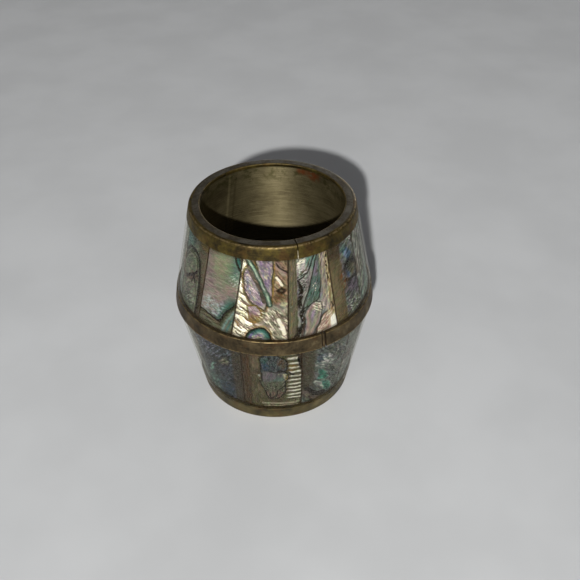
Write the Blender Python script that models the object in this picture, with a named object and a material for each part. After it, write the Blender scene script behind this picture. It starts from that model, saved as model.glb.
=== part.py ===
"""Barrel-shaped pen cup: a brass liner, a brass base plate, three brass bands and two rows of
hand-cut shell panels, bedded in dark resin and covered by clear resin ground flush with the bands.

Metres, +Z up. The origin is the centre of the standing face. The front of the cup faces -Y, and an
azimuth is an angle about +Z, measured from the front and positive towards +X.
"""

from math import atan2, cos, hypot, pi, radians, sin

import bmesh
import bpy

# Driving dimensions.
HEIGHT = 0.0762
GIRTH_RADIUS = 0.0358  # the waist band's lower edge, the widest circle of the cup
END_RADIUS = 0.0280  # outside, at the mouth and at the foot
WALL = 0.00385  # the whole wall, measured level, from the liner's inside to the outer surface
GAP = 0.0003  # between pieces that touch
SEGMENTS = 72  # facets round a full circle

# Layers of the wall, from the outer surface inwards.
CLEAR_RESIN = 0.00060
SHELL = 0.00090
LINER = 0.00085
BEDDING = WALL - CLEAR_RESIN - SHELL - LINER - 3 * GAP

# Heights.
GIRTH_HEIGHT = HEIGHT / 2
WAIST_BAND_TOP = GIRTH_HEIGHT + 0.0053
RIM_BAND_BOTTOM = HEIGHT - 0.0046
FOOT_BAND_TOP = 0.0056

# How far the waist band stands proud of the resin above and below it.
PROUD_ABOVE = 0.00030
PROUD_BELOW = 0.00055

RIM_FLANGE = 0.0013  # thickness of the rim band's flange, which covers the end of the liner
RIM_ROUND = 0.0010
EDGE_ROUND = 0.00035
ROUND_STEPS = 3

BASE_THICKNESS = 0.0012
BASE_RECESS = 0.0004

# Joints.
BAND_SPLIT = 0.00035  # gap between the two ends of the strip that a band is bent from
RIM_SPLIT_AZIMUTH = radians(15.3)
WAIST_SPLIT_AZIMUTH = radians(27)
FOOT_SPLIT_AZIMUTH = radians(172)
SEAM_AZIMUTH = radians(-145.5)  # the lap seam inside the liner
SEAM_WIDTH = 0.0026
SEAM_STEP = 0.00025  # how far the lapped sheet stands into the cup
SEAM_SHOULDER = 0.0002

# Joints between neighbouring shell panels: azimuths in degrees at the top and bottom of the row.
# The ones on the front are hand-cut, and the rest of the row is divided evenly.
UPPER_FRONT_JOINTS = [(-46, -50), (-20, -25.5), (9, 7), (36.5, 38), (63.5, 62)]
UPPER_PANELS = 13
LOWER_FRONT_JOINTS = [(-20, -24.5), (14.5, 18), (49, 51)]
LOWER_PANELS = 10
PANEL_JOINT = 0.0003
JOINT_LEAN = 1.3  # degrees; alternate joints at the back lean this much each way
PANEL_ARC_STEP = radians(5)

# Colour, roughness and metallic value of each material.
MATERIALS = {
    "brass_band": ((0.40, 0.27, 0.10), 0.35, 1.0),
    "brass_liner": ((0.42, 0.36, 0.22), 0.40, 1.0),
    "brass_base": ((0.38, 0.29, 0.14), 0.45, 1.0),
    "bedding_resin": ((0.10, 0.07, 0.04), 0.60, 0.0),
    "clear_resin": ((0.90, 0.90, 0.86), 0.08, 0.0),
    "shell_green": ((0.45, 0.58, 0.50), 0.25, 0.1),
    "shell_rose": ((0.66, 0.56, 0.56), 0.25, 0.1),
    "shell_blue": ((0.36, 0.44, 0.52), 0.25, 0.1),
    "shell_gold": ((0.62, 0.52, 0.34), 0.25, 0.1),
}
SHELL_MATERIALS = ["shell_green", "shell_rose", "shell_gold", "shell_blue"]

UPPER_TAPER = (GIRTH_RADIUS - END_RADIUS) / (HEIGHT - GIRTH_HEIGHT)
LOWER_TAPER = (GIRTH_RADIUS - PROUD_BELOW - END_RADIUS) / GIRTH_HEIGHT


def upper_radius(z):
    """Radius of the outer surface above the girth."""
    return GIRTH_RADIUS - UPPER_TAPER * (z - GIRTH_HEIGHT)


def lower_radius(z):
    """Radius of the outer surface below the girth."""
    return END_RADIUS + LOWER_TAPER * z


def liner_bottom():
    """Height of the liner's lower edge, which stands on the base plate."""
    return BASE_RECESS + BASE_THICKNESS + GAP


def base_radius():
    """The base plate reaches the outside of the liner's lower edge."""
    return lower_radius(liner_bottom()) - WALL + LINER


def clear_scene():
    for obj in list(bpy.data.objects):
        bpy.data.objects.remove(obj)


def make_material(name):
    colour, roughness, metallic = MATERIALS[name]
    material = bpy.data.materials.new(name)
    material.use_nodes = True
    shader = material.node_tree.nodes["Principled BSDF"]
    shader.inputs["Base Color"].default_value = (*colour, 1.0)
    shader.inputs["Roughness"].default_value = roughness
    shader.inputs["Metallic"].default_value = metallic
    if name == "clear_resin":
        shader.inputs["Alpha"].default_value = 0.2
    return material


def add_object(name, bm, material):
    """Turns a bmesh into a named object with its normals out and round faces smooth."""
    bmesh.ops.recalc_face_normals(bm, faces=bm.faces)
    mesh = bpy.data.meshes.new(name)
    bm.to_mesh(mesh)
    bm.free()
    mesh.shade_smooth()
    mesh.set_sharp_from_angle(angle=radians(30))
    mesh.materials.append(material)
    obj = bpy.data.objects.new(name, mesh)
    bpy.context.scene.collection.objects.link(obj)
    return obj


def profile_ring(bm, profile, azimuth):
    """The closed outline of (radius, height) points, stood up at an azimuth."""
    points = [(r * sin(azimuth), -r * cos(azimuth), z) for r, z in profile]
    verts = [bm.verts.new(p) for p in points]
    edges = [bm.edges.new((a, b)) for a, b in zip(verts, verts[1:] + verts[:1])]
    return verts, edges


def turned_ring(name, profile, material):
    """A full ring: the outline turned once about +Z."""
    bm = bmesh.new()
    verts, edges = profile_ring(bm, profile, 0)
    bmesh.ops.spin(
        bm, geom=verts + edges, axis=(0, 0, 1), cent=(0, 0, 0), angle=2 * pi, steps=SEGMENTS, use_merge=True
    )
    return add_object(name, bm, material)


def swept_arc(name, profile, start, end, steps, material):
    """Part of a ring, closed at both ends: the outline turned from one azimuth to another."""
    bm = bmesh.new()
    verts, edges = profile_ring(bm, profile, start)
    face = bm.faces.new(verts)
    bmesh.ops.spin(
        bm, geom=verts + edges + [face], axis=(0, 0, 1), cent=(0, 0, 0), angle=end - start, steps=steps
    )
    return add_object(name, bm, material)


def split_ring(name, profile, azimuth, radius, material):
    """A band bent from strip: a ring with a narrow gap between its ends at one azimuth."""
    half_gap = BAND_SPLIT / 2 / radius
    return swept_arc(name, profile, azimuth + half_gap, azimuth + 2 * pi - half_gap, SEGMENTS, material)


def rounded(corner, before, after, radius, steps=ROUND_STEPS):
    """Points of an arc that replaces a corner between the directions to its two neighbours."""
    (cx, cz), (bx, bz), (ax, az) = corner, before, after
    to_before = hypot(bx - cx, bz - cz)
    to_after = hypot(ax - cx, az - cz)
    first = (cx + (bx - cx) * radius / to_before, cz + (bz - cz) * radius / to_before)
    last = (cx + (ax - cx) * radius / to_after, cz + (az - cz) * radius / to_after)
    points = []
    for i in range(steps + 1):
        t = i / steps
        weights = ((1 - t) ** 2, 2 * t * (1 - t), t * t)
        points.append(
            tuple(sum(w * p[k] for w, p in zip(weights, (first, corner, last))) for k in (0, 1))
        )
    return points


def rounded_outline(corners, radii):
    """The outline with each corner that has a radius replaced by an arc."""
    points = []
    for i, (corner, radius) in enumerate(zip(corners, radii)):
        if radius:
            points += rounded(corner, corners[i - 1], corners[(i + 1) % len(corners)], radius)
        else:
            points.append(corner)
    return points


def layer_outline(radius_at, outer_depth, thickness, low, high):
    """A slice of the wall: its outer face this deep under the surface, between two heights."""
    inner_depth = outer_depth + thickness
    return [
        (radius_at(low) - inner_depth, low),
        (radius_at(low) - outer_depth, low),
        (radius_at(high) - outer_depth, high),
        (radius_at(high) - inner_depth, high),
    ]


def make_liner(name, radius_at, low, high, material):
    """A cone of rolled sheet whose overlapping end shows as a low vertical step inside the cup."""
    shoulder = SEAM_SHOULDER / END_RADIUS
    half = SEAM_WIDTH / 2 / END_RADIUS
    seam = [SEAM_AZIMUTH + d for d in (-half - shoulder, -half, half, half + shoulder)]
    step = 2 * pi / SEGMENTS
    first, last = seam[-1], seam[0] + 2 * pi
    count = round((last - first) / step)
    azimuths = [first + (last - first) * i / count for i in range(1, count)] + seam
    bm = bmesh.new()
    rings = []
    for azimuth in azimuths:
        raised = SEAM_STEP if azimuth in seam[1:3] else 0
        outline = layer_outline(radius_at, WALL - LINER, LINER + raised, low, high)
        rings.append(profile_ring(bm, outline, azimuth)[0])
    for here, after in zip(rings, rings[1:] + rings[:1]):
        for k in range(4):
            bm.faces.new((here[k], here[(k + 1) % 4], after[(k + 1) % 4], after[k]))
    return add_object(name, bm, material)


def make_base(material):
    """The round plate soldered in under the liner, with its lower edge eased."""
    radius = base_radius()
    middle = BASE_RECESS + BASE_THICKNESS / 2
    bm = bmesh.new()
    bmesh.ops.create_cone(
        bm, cap_ends=True, segments=SEGMENTS, radius1=radius, radius2=radius, depth=BASE_THICKNESS
    )
    bmesh.ops.translate(bm, verts=bm.verts, vec=(0, 0, middle))
    lower_rim = [e for e in bm.edges if all(v.co.z < middle for v in e.verts)]
    bmesh.ops.bevel(bm, geom=lower_rim, offset=EDGE_ROUND, segments=1, affect="EDGES")
    return add_object("base_plate", bm, material)


def make_rim_band(material):
    """An L-section ring: its skirt closes the upper field, and its flange caps the liner."""
    liner_outside = WALL - LINER - GAP
    under_flange = HEIGHT - RIM_FLANGE
    corners = [
        (upper_radius(RIM_BAND_BOTTOM) - liner_outside, RIM_BAND_BOTTOM),
        (upper_radius(RIM_BAND_BOTTOM), RIM_BAND_BOTTOM),
        (END_RADIUS, HEIGHT),
        (END_RADIUS - WALL, HEIGHT),
        (upper_radius(under_flange) - WALL, under_flange),
        (upper_radius(under_flange) - liner_outside, under_flange),
    ]
    radii = [0, 0, RIM_ROUND, EDGE_ROUND, 0, 0]
    return split_ring("rim_band", rounded_outline(corners, radii), RIM_SPLIT_AZIMUTH, END_RADIUS, material)


def make_waist_band(material):
    """A strip bent round the liner just above the girth, proud of the resin on both sides."""
    depth = WALL - LINER - GAP
    corners = [
        (upper_radius(GIRTH_HEIGHT) - depth, GIRTH_HEIGHT),
        (upper_radius(GIRTH_HEIGHT), GIRTH_HEIGHT),
        (upper_radius(WAIST_BAND_TOP) + PROUD_ABOVE, WAIST_BAND_TOP),
        (upper_radius(WAIST_BAND_TOP) - depth, WAIST_BAND_TOP),
    ]
    outline = rounded_outline(corners, [0, EDGE_ROUND, EDGE_ROUND, 0])
    return split_ring("waist_band", outline, WAIST_SPLIT_AZIMUTH, GIRTH_RADIUS, material)


def make_foot_band(material):
    """The ring that the cup stands on, round the base plate and the liner's lower edge."""
    plate_seat = base_radius() + GAP
    liner_outside = WALL - LINER - GAP
    corners = [
        (plate_seat, 0),
        (END_RADIUS, 0),
        (lower_radius(FOOT_BAND_TOP), FOOT_BAND_TOP),
        (lower_radius(FOOT_BAND_TOP) - liner_outside, FOOT_BAND_TOP),
        (plate_seat, liner_bottom()),
    ]
    outline = rounded_outline(corners, [0, EDGE_ROUND, 0, 0, 0])
    return split_ring("foot_band", outline, FOOT_SPLIT_AZIMUTH, END_RADIUS, material)


def panel_joints(front, count):
    """(top, bottom) azimuth of every joint in a row: the given ones, then the rest spaced evenly."""
    spare = count - len(front) + 1
    first = sum(front[-1]) / 2
    step = (360 + sum(front[0]) / 2 - first) / spare
    joints = [(radians(top), radians(bottom)) for top, bottom in front]
    for k in range(1, spare):
        lean = JOINT_LEAN if k % 2 else -JOINT_LEAN
        middle = first + step * k
        joints.append((radians(middle + lean), radians(middle - lean)))
    return joints


def slant(obj, start, end, low, high):
    """Turns each point of an even arc so that its two ends follow the slanting joints.

    start and end are (top, bottom) azimuths. The arc was swept between their mean values.
    """
    mean_start, mean_end = sum(start) / 2, sum(end) / 2
    for vert in obj.data.vertices:
        x, y, z = vert.co
        radius = hypot(x, y)
        azimuth = atan2(x, -y)
        while azimuth < mean_start - PANEL_ARC_STEP:
            azimuth += 2 * pi
        across = (azimuth - mean_start) / (mean_end - mean_start)
        up = (z - low) / (high - low)
        left = start[1] + (start[0] - start[1]) * up
        right = end[1] + (end[0] - end[1]) * up
        half_joint = PANEL_JOINT / 2 / radius
        turned = left + half_joint + (right - left - 2 * half_joint) * across
        vert.co = (radius * sin(turned), -radius * cos(turned), z)


def make_panels(row, radius_at, low, high, front, count, materials):
    """One row of shell slabs, numbered round the cup from the first joint of the front."""
    joints = panel_joints(front, count)
    outline = layer_outline(radius_at, CLEAR_RESIN + GAP, SHELL, low, high)
    for k, start in enumerate(joints):
        end = joints[(k + 1) % count]
        if k == count - 1:
            end = tuple(azimuth + 2 * pi for azimuth in end)
        mean_start, mean_end = sum(start) / 2, sum(end) / 2
        steps = round((mean_end - mean_start) / PANEL_ARC_STEP)
        name = f"{row}_shell_panel_{k + 1:02d}"
        material = materials[SHELL_MATERIALS[k % len(SHELL_MATERIALS)]]
        panel = swept_arc(name, outline, mean_start, mean_end, steps, material)
        slant(panel, start, end, low, high)


def make_field(row, radius_at, low, high, front, count, materials):
    """The dark bedding, the shell panels and the clear resin between two bands."""
    depth = CLEAR_RESIN + SHELL + 2 * GAP
    turned_ring(
        f"{row}_bedding_resin",
        layer_outline(radius_at, depth, BEDDING, low, high),
        materials["bedding_resin"],
    )
    make_panels(row, radius_at, low, high, front, count, materials)
    turned_ring(
        f"{row}_clear_resin",
        layer_outline(radius_at, 0, CLEAR_RESIN, low, high),
        materials["clear_resin"],
    )


def main():
    clear_scene()
    materials = {name: make_material(name) for name in MATERIALS}
    brass = materials["brass_band"]
    make_liner(
        "upper_liner", upper_radius, GIRTH_HEIGHT + GAP / 2, HEIGHT - RIM_FLANGE - GAP, materials["brass_liner"]
    )
    make_liner("lower_liner", lower_radius, liner_bottom(), GIRTH_HEIGHT - GAP / 2, materials["brass_liner"])
    make_base(materials["brass_base"])
    make_rim_band(brass)
    make_waist_band(brass)
    make_foot_band(brass)
    make_field(
        "upper",
        upper_radius,
        WAIST_BAND_TOP + GAP,
        RIM_BAND_BOTTOM - GAP,
        UPPER_FRONT_JOINTS,
        UPPER_PANELS,
        materials,
    )
    make_field(
        "lower",
        lower_radius,
        FOOT_BAND_TOP + GAP,
        GIRTH_HEIGHT - GAP,
        LOWER_FRONT_JOINTS,
        LOWER_PANELS,
        materials,
    )


main()
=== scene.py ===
"""The looks of the shell-inlaid brass pen cup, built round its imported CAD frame.

Lengths are metres, except in the materials, where patterns are laid out in millimetres. The front of
the cup faces -Y, and an azimuth is measured about +Z from the front, positive towards +X.
"""

from math import atan2, cos, hypot, pi, radians, sin

import bmesh
import bpy
from mathutils import Matrix, Vector, noise


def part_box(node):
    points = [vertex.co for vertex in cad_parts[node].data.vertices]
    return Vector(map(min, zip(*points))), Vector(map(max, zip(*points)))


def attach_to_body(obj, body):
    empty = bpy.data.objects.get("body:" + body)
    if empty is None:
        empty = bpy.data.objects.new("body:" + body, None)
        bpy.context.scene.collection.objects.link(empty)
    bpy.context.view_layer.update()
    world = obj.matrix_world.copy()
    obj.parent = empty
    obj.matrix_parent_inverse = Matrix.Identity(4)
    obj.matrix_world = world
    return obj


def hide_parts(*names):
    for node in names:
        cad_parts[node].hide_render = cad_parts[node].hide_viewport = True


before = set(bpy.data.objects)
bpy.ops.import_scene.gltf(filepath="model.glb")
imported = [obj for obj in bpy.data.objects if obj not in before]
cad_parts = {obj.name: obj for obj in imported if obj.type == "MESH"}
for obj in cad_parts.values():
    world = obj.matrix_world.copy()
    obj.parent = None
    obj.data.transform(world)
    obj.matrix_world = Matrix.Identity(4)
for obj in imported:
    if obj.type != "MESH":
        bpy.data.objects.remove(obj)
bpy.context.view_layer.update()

MM = 0.001
TURN = 2 * pi
GAP = 0.3 * MM  # between CAD solids that touch in the real cup
NEAR = 0.1 * MM  # heights closer than this are one level


# ---------------------------------------------------------------- measures read from the frame


def vertices(node):
    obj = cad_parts[node]
    return [obj.matrix_world @ v.co for v in obj.data.vertices]


def azimuth_of(point):
    return atan2(point.x, -point.y)


class Wall:
    """A CAD layer of the wall between two heights: its inner and outer radius at each of them."""

    def __init__(self, node):
        points = vertices(node)
        heights = [p.z for p in points]
        self.low, self.high = min(heights), max(heights)
        self.foot = [hypot(p.x, p.y) for p in points if p.z < self.low + NEAR]
        self.head = [hypot(p.x, p.y) for p in points if p.z > self.high - NEAR]

    def _at(self, z, pick):
        t = (z - self.low) / (self.high - self.low)
        return pick(self.foot) * (1 - t) + pick(self.head) * t

    def outer(self, z):
        return self._at(z, max)

    def inner(self, z):
        return self._at(z, min)

    def slope(self):
        return (self.outer(self.high) - self.outer(self.low)) / (self.high - self.low)


class Slab(Wall):
    """A CAD shell panel: the layer that it lies in, and the azimuths of its two sides."""

    def __init__(self, node):
        super().__init__(node)
        points = vertices(node)
        middle = sum(points, Vector()) / len(points)
        self.azimuth = azimuth_of(middle)
        self.sides_low = self._sides([p for p in points if p.z < self.low + NEAR])
        self.sides_high = self._sides([p for p in points if p.z > self.high - NEAR])

    def _sides(self, points):
        turned = [(azimuth_of(p) - self.azimuth + pi) % TURN - pi for p in points]
        return self.azimuth + min(turned), self.azimuth + max(turned)

    def sides(self, z):
        t = (z - self.low) / (self.high - self.low)
        return [a * (1 - t) + b * t for a, b in zip(self.sides_low, self.sides_high)]

    def size(self):
        """The width half-way up and the height along the slope, in millimetres."""
        middle = (self.low + self.high) / 2
        left, right = self.sides(middle)
        height = hypot(self.high - self.low, self.outer(self.high) - self.outer(self.low))
        return (right - left) * self.outer(middle) / MM, height / MM


rim_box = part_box("rim_band")
waist_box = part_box("waist_band")
foot_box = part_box("foot_band")
(_, _, plate_low), (plate_radius, _, plate_high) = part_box("base_plate")
HEIGHT = rim_box[1][2]
RIM_BOTTOM = rim_box[0][2]
WAIST_BOTTOM, WAIST_TOP = waist_box[0][2], waist_box[1][2]
FOOT_TOP = foot_box[1][2]
GIRTH_RADIUS = waist_box[1][0]

upper_skin = Wall("upper_clear_resin")
lower_skin = Wall("lower_clear_resin")
upper_liner = Wall("upper_liner")
lower_liner = Wall("lower_liner")
upper_bed = Wall("upper_bedding_resin")
lower_bed = Wall("lower_bedding_resin")
rim_wall = Wall("rim_band")
waist_wall = Wall("waist_band")
foot_wall = Wall("foot_band")


# ---------------------------------------------------------------- mesh tools


def finish_mesh(name, bm, material, smooth_angle=40):
    bmesh.ops.recalc_face_normals(bm, faces=bm.faces)
    mesh = bpy.data.meshes.new(name)
    bm.to_mesh(mesh)
    bm.free()
    mesh.shade_smooth()
    mesh.set_sharp_from_angle(angle=radians(smooth_angle))
    mesh.materials.append(material)
    obj = bpy.data.objects.new(name, mesh)
    bpy.context.scene.collection.objects.link(obj)
    return obj


def attach(piece, slot, *nodes):
    """Every piece rides on the cup's one body and stands for CAD nodes, which are hidden. slot is not
    used.
    """
    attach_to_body(piece, "root")
    if nodes:
        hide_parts(*nodes)


def rounded(corners, radii, steps):
    """The outline of (radius, height) corners, with an arc for each corner that has a radius."""
    outline = []
    count = len(corners)
    for i, (corner, radius) in enumerate(zip(corners, radii)):
        here = Vector(corner)
        if not radius:
            outline.append(here)
            continue
        before = here + (Vector(corners[i - 1]) - here).normalized() * radius
        after = here + (Vector(corners[(i + 1) % count]) - here).normalized() * radius
        for k in range(steps + 1):
            t = k / steps
            outline.append(before * (1 - t) ** 2 + here * 2 * t * (1 - t) + after * t * t)
    return outline


def section(corners, longest=0.5 * MM, steps=6):
    """The closed outline through (radius, height, rounding) corners, in pieces of about this length."""
    points = []
    outline = rounded([corner[:2] for corner in corners], [corner[2] for corner in corners], steps)
    for here, after in zip(outline, outline[1:] + outline[:1]):
        pieces = max(1, round((after - here).length / longest))
        points += [here.lerp(after, k / pieces) for k in range(pieces)]
    return points


def lengths(outline):
    """Distance along the closed outline to each of its points and back to the first, in millimetres."""
    along = [0.0]
    for here, after in zip(outline, outline[1:] + outline[:1]):
        along.append(along[-1] + (after - here).length / MM)
    return along


def along_to(outline, radius, height):
    """Distance along the outline to its nearest point to this one, in millimetres."""
    target = Vector((radius, height))
    nearest = min(range(len(outline)), key=lambda i: (outline[i] - target).length)
    return lengths(outline)[nearest]


def turned(name, outline, material, start=0.0, end=TURN, steps=288, shape=None):
    """Turns a closed outline about +Z. The UV map holds millimetres round the cup and up it.

    shape(azimuth, radius, height, along) may move each point, and returns its new radius and height.
    """
    closed = end - start > TURN - 1e-6
    along = lengths(outline)
    mean_radius = sum(p[0] for p in outline) / len(outline) / MM
    bm = bmesh.new()
    rings = []
    azimuths = [start + (end - start) * i / steps for i in range(steps if closed else steps + 1)]
    for azimuth in azimuths:
        ring = []
        for (r, z), s in zip(outline, along):
            if shape:
                r, z = shape(azimuth, r, z, s)
            ring.append(bm.verts.new((r * sin(azimuth), -r * cos(azimuth), z)))
        rings.append(ring)
    uv_map = bm.loops.layers.uv.new("strip")
    count = len(outline)
    for i in range(steps):
        here, after = rings[i], rings[(i + 1) % len(rings)]
        x = [azimuths[0] + (end - start) * (i + k) / steps for k in (0, 1)]
        for k in range(count):
            after_k = (k + 1) % count
            face = bm.faces.new((here[k], after[k], after[after_k], here[after_k]))
            spots = [(x[0], along[k]), (x[1], along[k]), (x[1], along[k + 1]), (x[0], along[k + 1])]
            for loop, (a, s) in zip(face.loops, spots):
                loop[uv_map].uv = (a * mean_radius, s)
    if not closed:
        for ring, azimuth in ((rings[0], start), (rings[-1], end)):
            face = bm.faces.new(ring)
            for loop in face.loops:
                x, y, z = loop.vert.co
                loop[uv_map].uv = (azimuth * mean_radius + hypot(x, y) / MM - mean_radius, z / MM)
    return finish_mesh(name, bm, material)


def wobble(azimuth, height, size, seed):
    """Smooth unevenness round the cup, between -1 and 1, with features of about this size in metres."""
    radius = GIRTH_RADIUS / size
    return noise.noise((radius * sin(azimuth), -radius * cos(azimuth) + seed * 17.3, height / size))


# ---------------------------------------------------------------- shader tools


def srgb(red, green, blue):
    """A colour given as 0 to 255 sRGB values, as the linear RGBA that shaders take."""
    shares = [value / 255 for value in (red, green, blue)]
    return (*(((s + 0.055) / 1.055) ** 2.4 if s > 0.04045 else s / 12.92 for s in shares), 1.0)


class Graph:
    """A material's nodes, with short names for the steps that patterns are made of."""

    def __init__(self, name):
        self.material = bpy.data.materials.new(name)
        self.material.use_nodes = True
        self.tree = self.material.node_tree
        self.shader = self.tree.nodes["Principled BSDF"]
        self.output = self.tree.nodes["Material Output"]

    def node(self, kind, inputs=(), **settings):
        made = self.tree.nodes.new(kind)
        for key, value in settings.items():
            setattr(made, key, value)
        for key, value in dict(inputs).items():
            self.feed(made.inputs[key], value)
        return made

    def feed(self, socket, value):
        if isinstance(value, bpy.types.NodeSocket):
            self.tree.links.new(value, socket)
        else:
            socket.default_value = value

    def math(self, operation, a, b=0.0, clamp=False):
        made = self.node("ShaderNodeMath", {0: a, 1: b}, operation=operation, use_clamp=clamp)
        return made.outputs[0]

    def vector(self, operation, a, b=(0, 0, 0)):
        made = self.node("ShaderNodeVectorMath", {0: a, 1: b}, operation=operation)
        return made.outputs["Value" if operation in ("LENGTH", "DOT_PRODUCT", "DISTANCE") else "Vector"]

    def scaled(self, vector, factor):
        made = self.node("ShaderNodeVectorMath", {0: vector}, operation="SCALE")
        self.feed(made.inputs["Scale"], factor)
        return made.outputs["Vector"]

    def uv(self, name):
        return self.node("ShaderNodeUVMap", uv_map=name).outputs[0]

    def position(self):
        """Position in the cup's own frame, in millimetres."""
        return self.scaled(self.node("ShaderNodeTexCoord").outputs["Object"], 1 / MM)

    def split(self, vector):
        return self.node("ShaderNodeSeparateXYZ", {0: vector}).outputs

    def join(self, x, y, z=0.0):
        return self.node("ShaderNodeCombineXYZ", {0: x, 1: y, 2: z}).outputs[0]

    def moved(self, vector, centre=(0, 0), angle=0.0, stretch=(1, 1)):
        """Coordinates about a centre, turned back by an angle in degrees and divided by a stretch."""
        shifted = self.vector("SUBTRACT", vector, (*centre, 0))
        if angle:
            inputs = {"Vector": shifted, "Angle": radians(-angle)}
            turned_back = self.node("ShaderNodeVectorRotate", inputs, rotation_type="Z_AXIS")
            shifted = turned_back.outputs[0]
        return self.vector("DIVIDE", shifted, (*stretch, 1))

    def noise(self, vector, scale, detail=2.0, roughness=0.5, distortion=0.0, colour=False):
        inputs = {"Vector": vector, "Scale": scale, "Detail": detail}
        inputs.update({"Roughness": roughness, "Distortion": distortion})
        return self.node("ShaderNodeTexNoise", inputs).outputs["Color" if colour else "Fac"]

    def cells(self, vector, scale):
        """Distance from the nearest of many scattered points."""
        return self.node("ShaderNodeTexVoronoi", {"Vector": vector, "Scale": scale}).outputs["Distance"]

    def fade(self, value, start, end, low=0.0, high=1.0):
        """Goes smoothly from low to high as value goes from start to end."""
        inputs = {"Value": value, "From Min": start, "From Max": end, "To Min": low, "To Max": high}
        return self.node("ShaderNodeMapRange", inputs, interpolation_type="SMOOTHSTEP").outputs[0]

    def mix(self, factor, a, b, blend="MIX"):
        made = self.node("ShaderNodeMix", data_type="RGBA", blend_type=blend)
        self.feed(made.inputs[0], factor)
        self.feed(made.inputs[6], a)
        self.feed(made.inputs[7], b)
        return made.outputs[2]

    def ramp(self, factor, stops):
        """A colour ramp through (place, colour) stops."""
        made = self.node("ShaderNodeValToRGB", {"Fac": factor})
        marks = made.color_ramp.elements
        while len(marks) < len(stops):
            marks.new(0.5)
        for mark, (place, colour) in zip(marks, stops):
            mark.position = place
            mark.color = colour
        return made.outputs["Color"]

    def bump(self, height, distance, strength=1.0, normal=None):
        """A bump from a height between 0 and 1 that stands for this many metres."""
        inputs = {"Height": height, "Distance": distance, "Strength": strength}
        if normal:
            inputs["Normal"] = normal
        return self.node("ShaderNodeBump", inputs).outputs[0]

    def finish(self, **inputs):
        """Feeds the Principled shader: names such as Base_Color stand for its inputs."""
        for key, value in inputs.items():
            self.feed(self.shader.inputs[key.replace("_", " ")], value)
        return self.material


# ---------------------------------------------------------------- brass materials


def band_brass(name, tints, edges, seed, top_face=None):
    """Old brass strip: blotched patina, scratches along the strip, grime, and bright edges that are
    partly worn metal and partly painted highlight.

    edges are (distance along the outline, width in millimetres, amount) where the metal is painted
    bright: partly wear, partly painted highlight.
    """
    g = Graph(name)
    place = g.vector("ADD", g.position(), (seed * 31.0, 0, 0))
    strip = g.uv("strip")
    along = g.split(strip)[1]
    blotch = g.noise(place, 0.16, 4, 0.6)
    speck = g.noise(place, 1.1, 4, 0.7)
    dark, brown, gold, pale = tints
    colour = g.ramp(
        g.math("ADD", g.math("MULTIPLY", blotch, 0.72), g.math("MULTIPLY", speck, 0.28)),
        [(0.34, dark), (0.45, brown), (0.56, gold), (0.68, pale)],
    )
    ruddy = g.fade(g.noise(g.vector("ADD", place, (9, 5, 2)), 0.22, 2), 0.5, 0.66)
    colour = g.mix(g.math("MULTIPLY", ruddy, 0.25), colour, srgb(104, 68, 38))
    lines = g.noise(g.vector("MULTIPLY", strip, (0.06, 3.2, 1)), 1.0, 5, 0.65)
    colour = g.mix(g.fade(lines, 0.55, 0.75, 0, 0.5), colour, pale)
    colour = g.mix(g.fade(lines, 0.42, 0.3, 0, 0.5), colour, dark)
    pits = g.fade(g.cells(place, 0.9), 0.2, 0.08)
    pits = g.math("MULTIPLY", pits, g.fade(g.noise(place, 0.5, 1), 0.5, 0.6))
    colour = g.mix(g.math("MULTIPLY", pits, 0.8), colour, srgb(38, 28, 20))
    # painted highlight on real wear: the edges are painted lighter and made a little glossier
    wear_and_highlight = 0.0
    for edge, width, amount in edges:
        off = g.math("ABSOLUTE", g.math("SUBTRACT", along, edge))
        near = g.fade(off, width, width * 0.25, 0, amount)
        near = g.math("MULTIPLY", near, g.fade(g.noise(place, 0.6, 3, 0.7), 0.35, 0.6))
        wear_and_highlight = g.math("MAXIMUM", wear_and_highlight, near)
    colour = g.mix(wear_and_highlight, colour, srgb(140, 120, 80))
    roughness = g.fade(speck, 0.3, 0.7, 0.44, 0.64)
    roughness = g.math("SUBTRACT", roughness, g.math("MULTIPLY", wear_and_highlight, 0.12))
    # painted shade: the flat top face is painted a darker, greyer colour than the sides
    if top_face:
        low, high = top_face
        past_low = g.fade(along, low - 0.2, low + 0.2)
        flat = g.math("MULTIPLY", past_low, g.fade(along, high + 0.2, high - 0.2))
        grey = g.mix(g.fade(blotch, 0.38, 0.62), srgb(100, 95, 82), srgb(60, 52, 41))
        grey = g.mix(g.fade(speck, 0.5, 0.7, 0, 0.6), grey, srgb(54, 46, 35))
        colour = g.mix(g.math("MULTIPLY", flat, 0.85), colour, grey)
    height = g.math("ADD", g.math("MULTIPLY", lines, 0.5), g.math("MULTIPLY", speck, 0.5))
    height = g.math("SUBTRACT", height, g.math("MULTIPLY", pits, 0.8))
    normal = g.bump(height, 0.12 * MM, 0.6)
    return g.finish(Base_Color=colour, Metallic=0.85, Roughness=roughness, Normal=normal)


# Places and sizes of the rust-brown marks inside the mouth, in millimetres.
RUST_SPOTS = [((14.4, 19.6, 73.6), 4.2), ((10.6, 21.9, 74.2), 2.8), ((-17.0, 15.0, 73.0), 2.0)]


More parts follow.
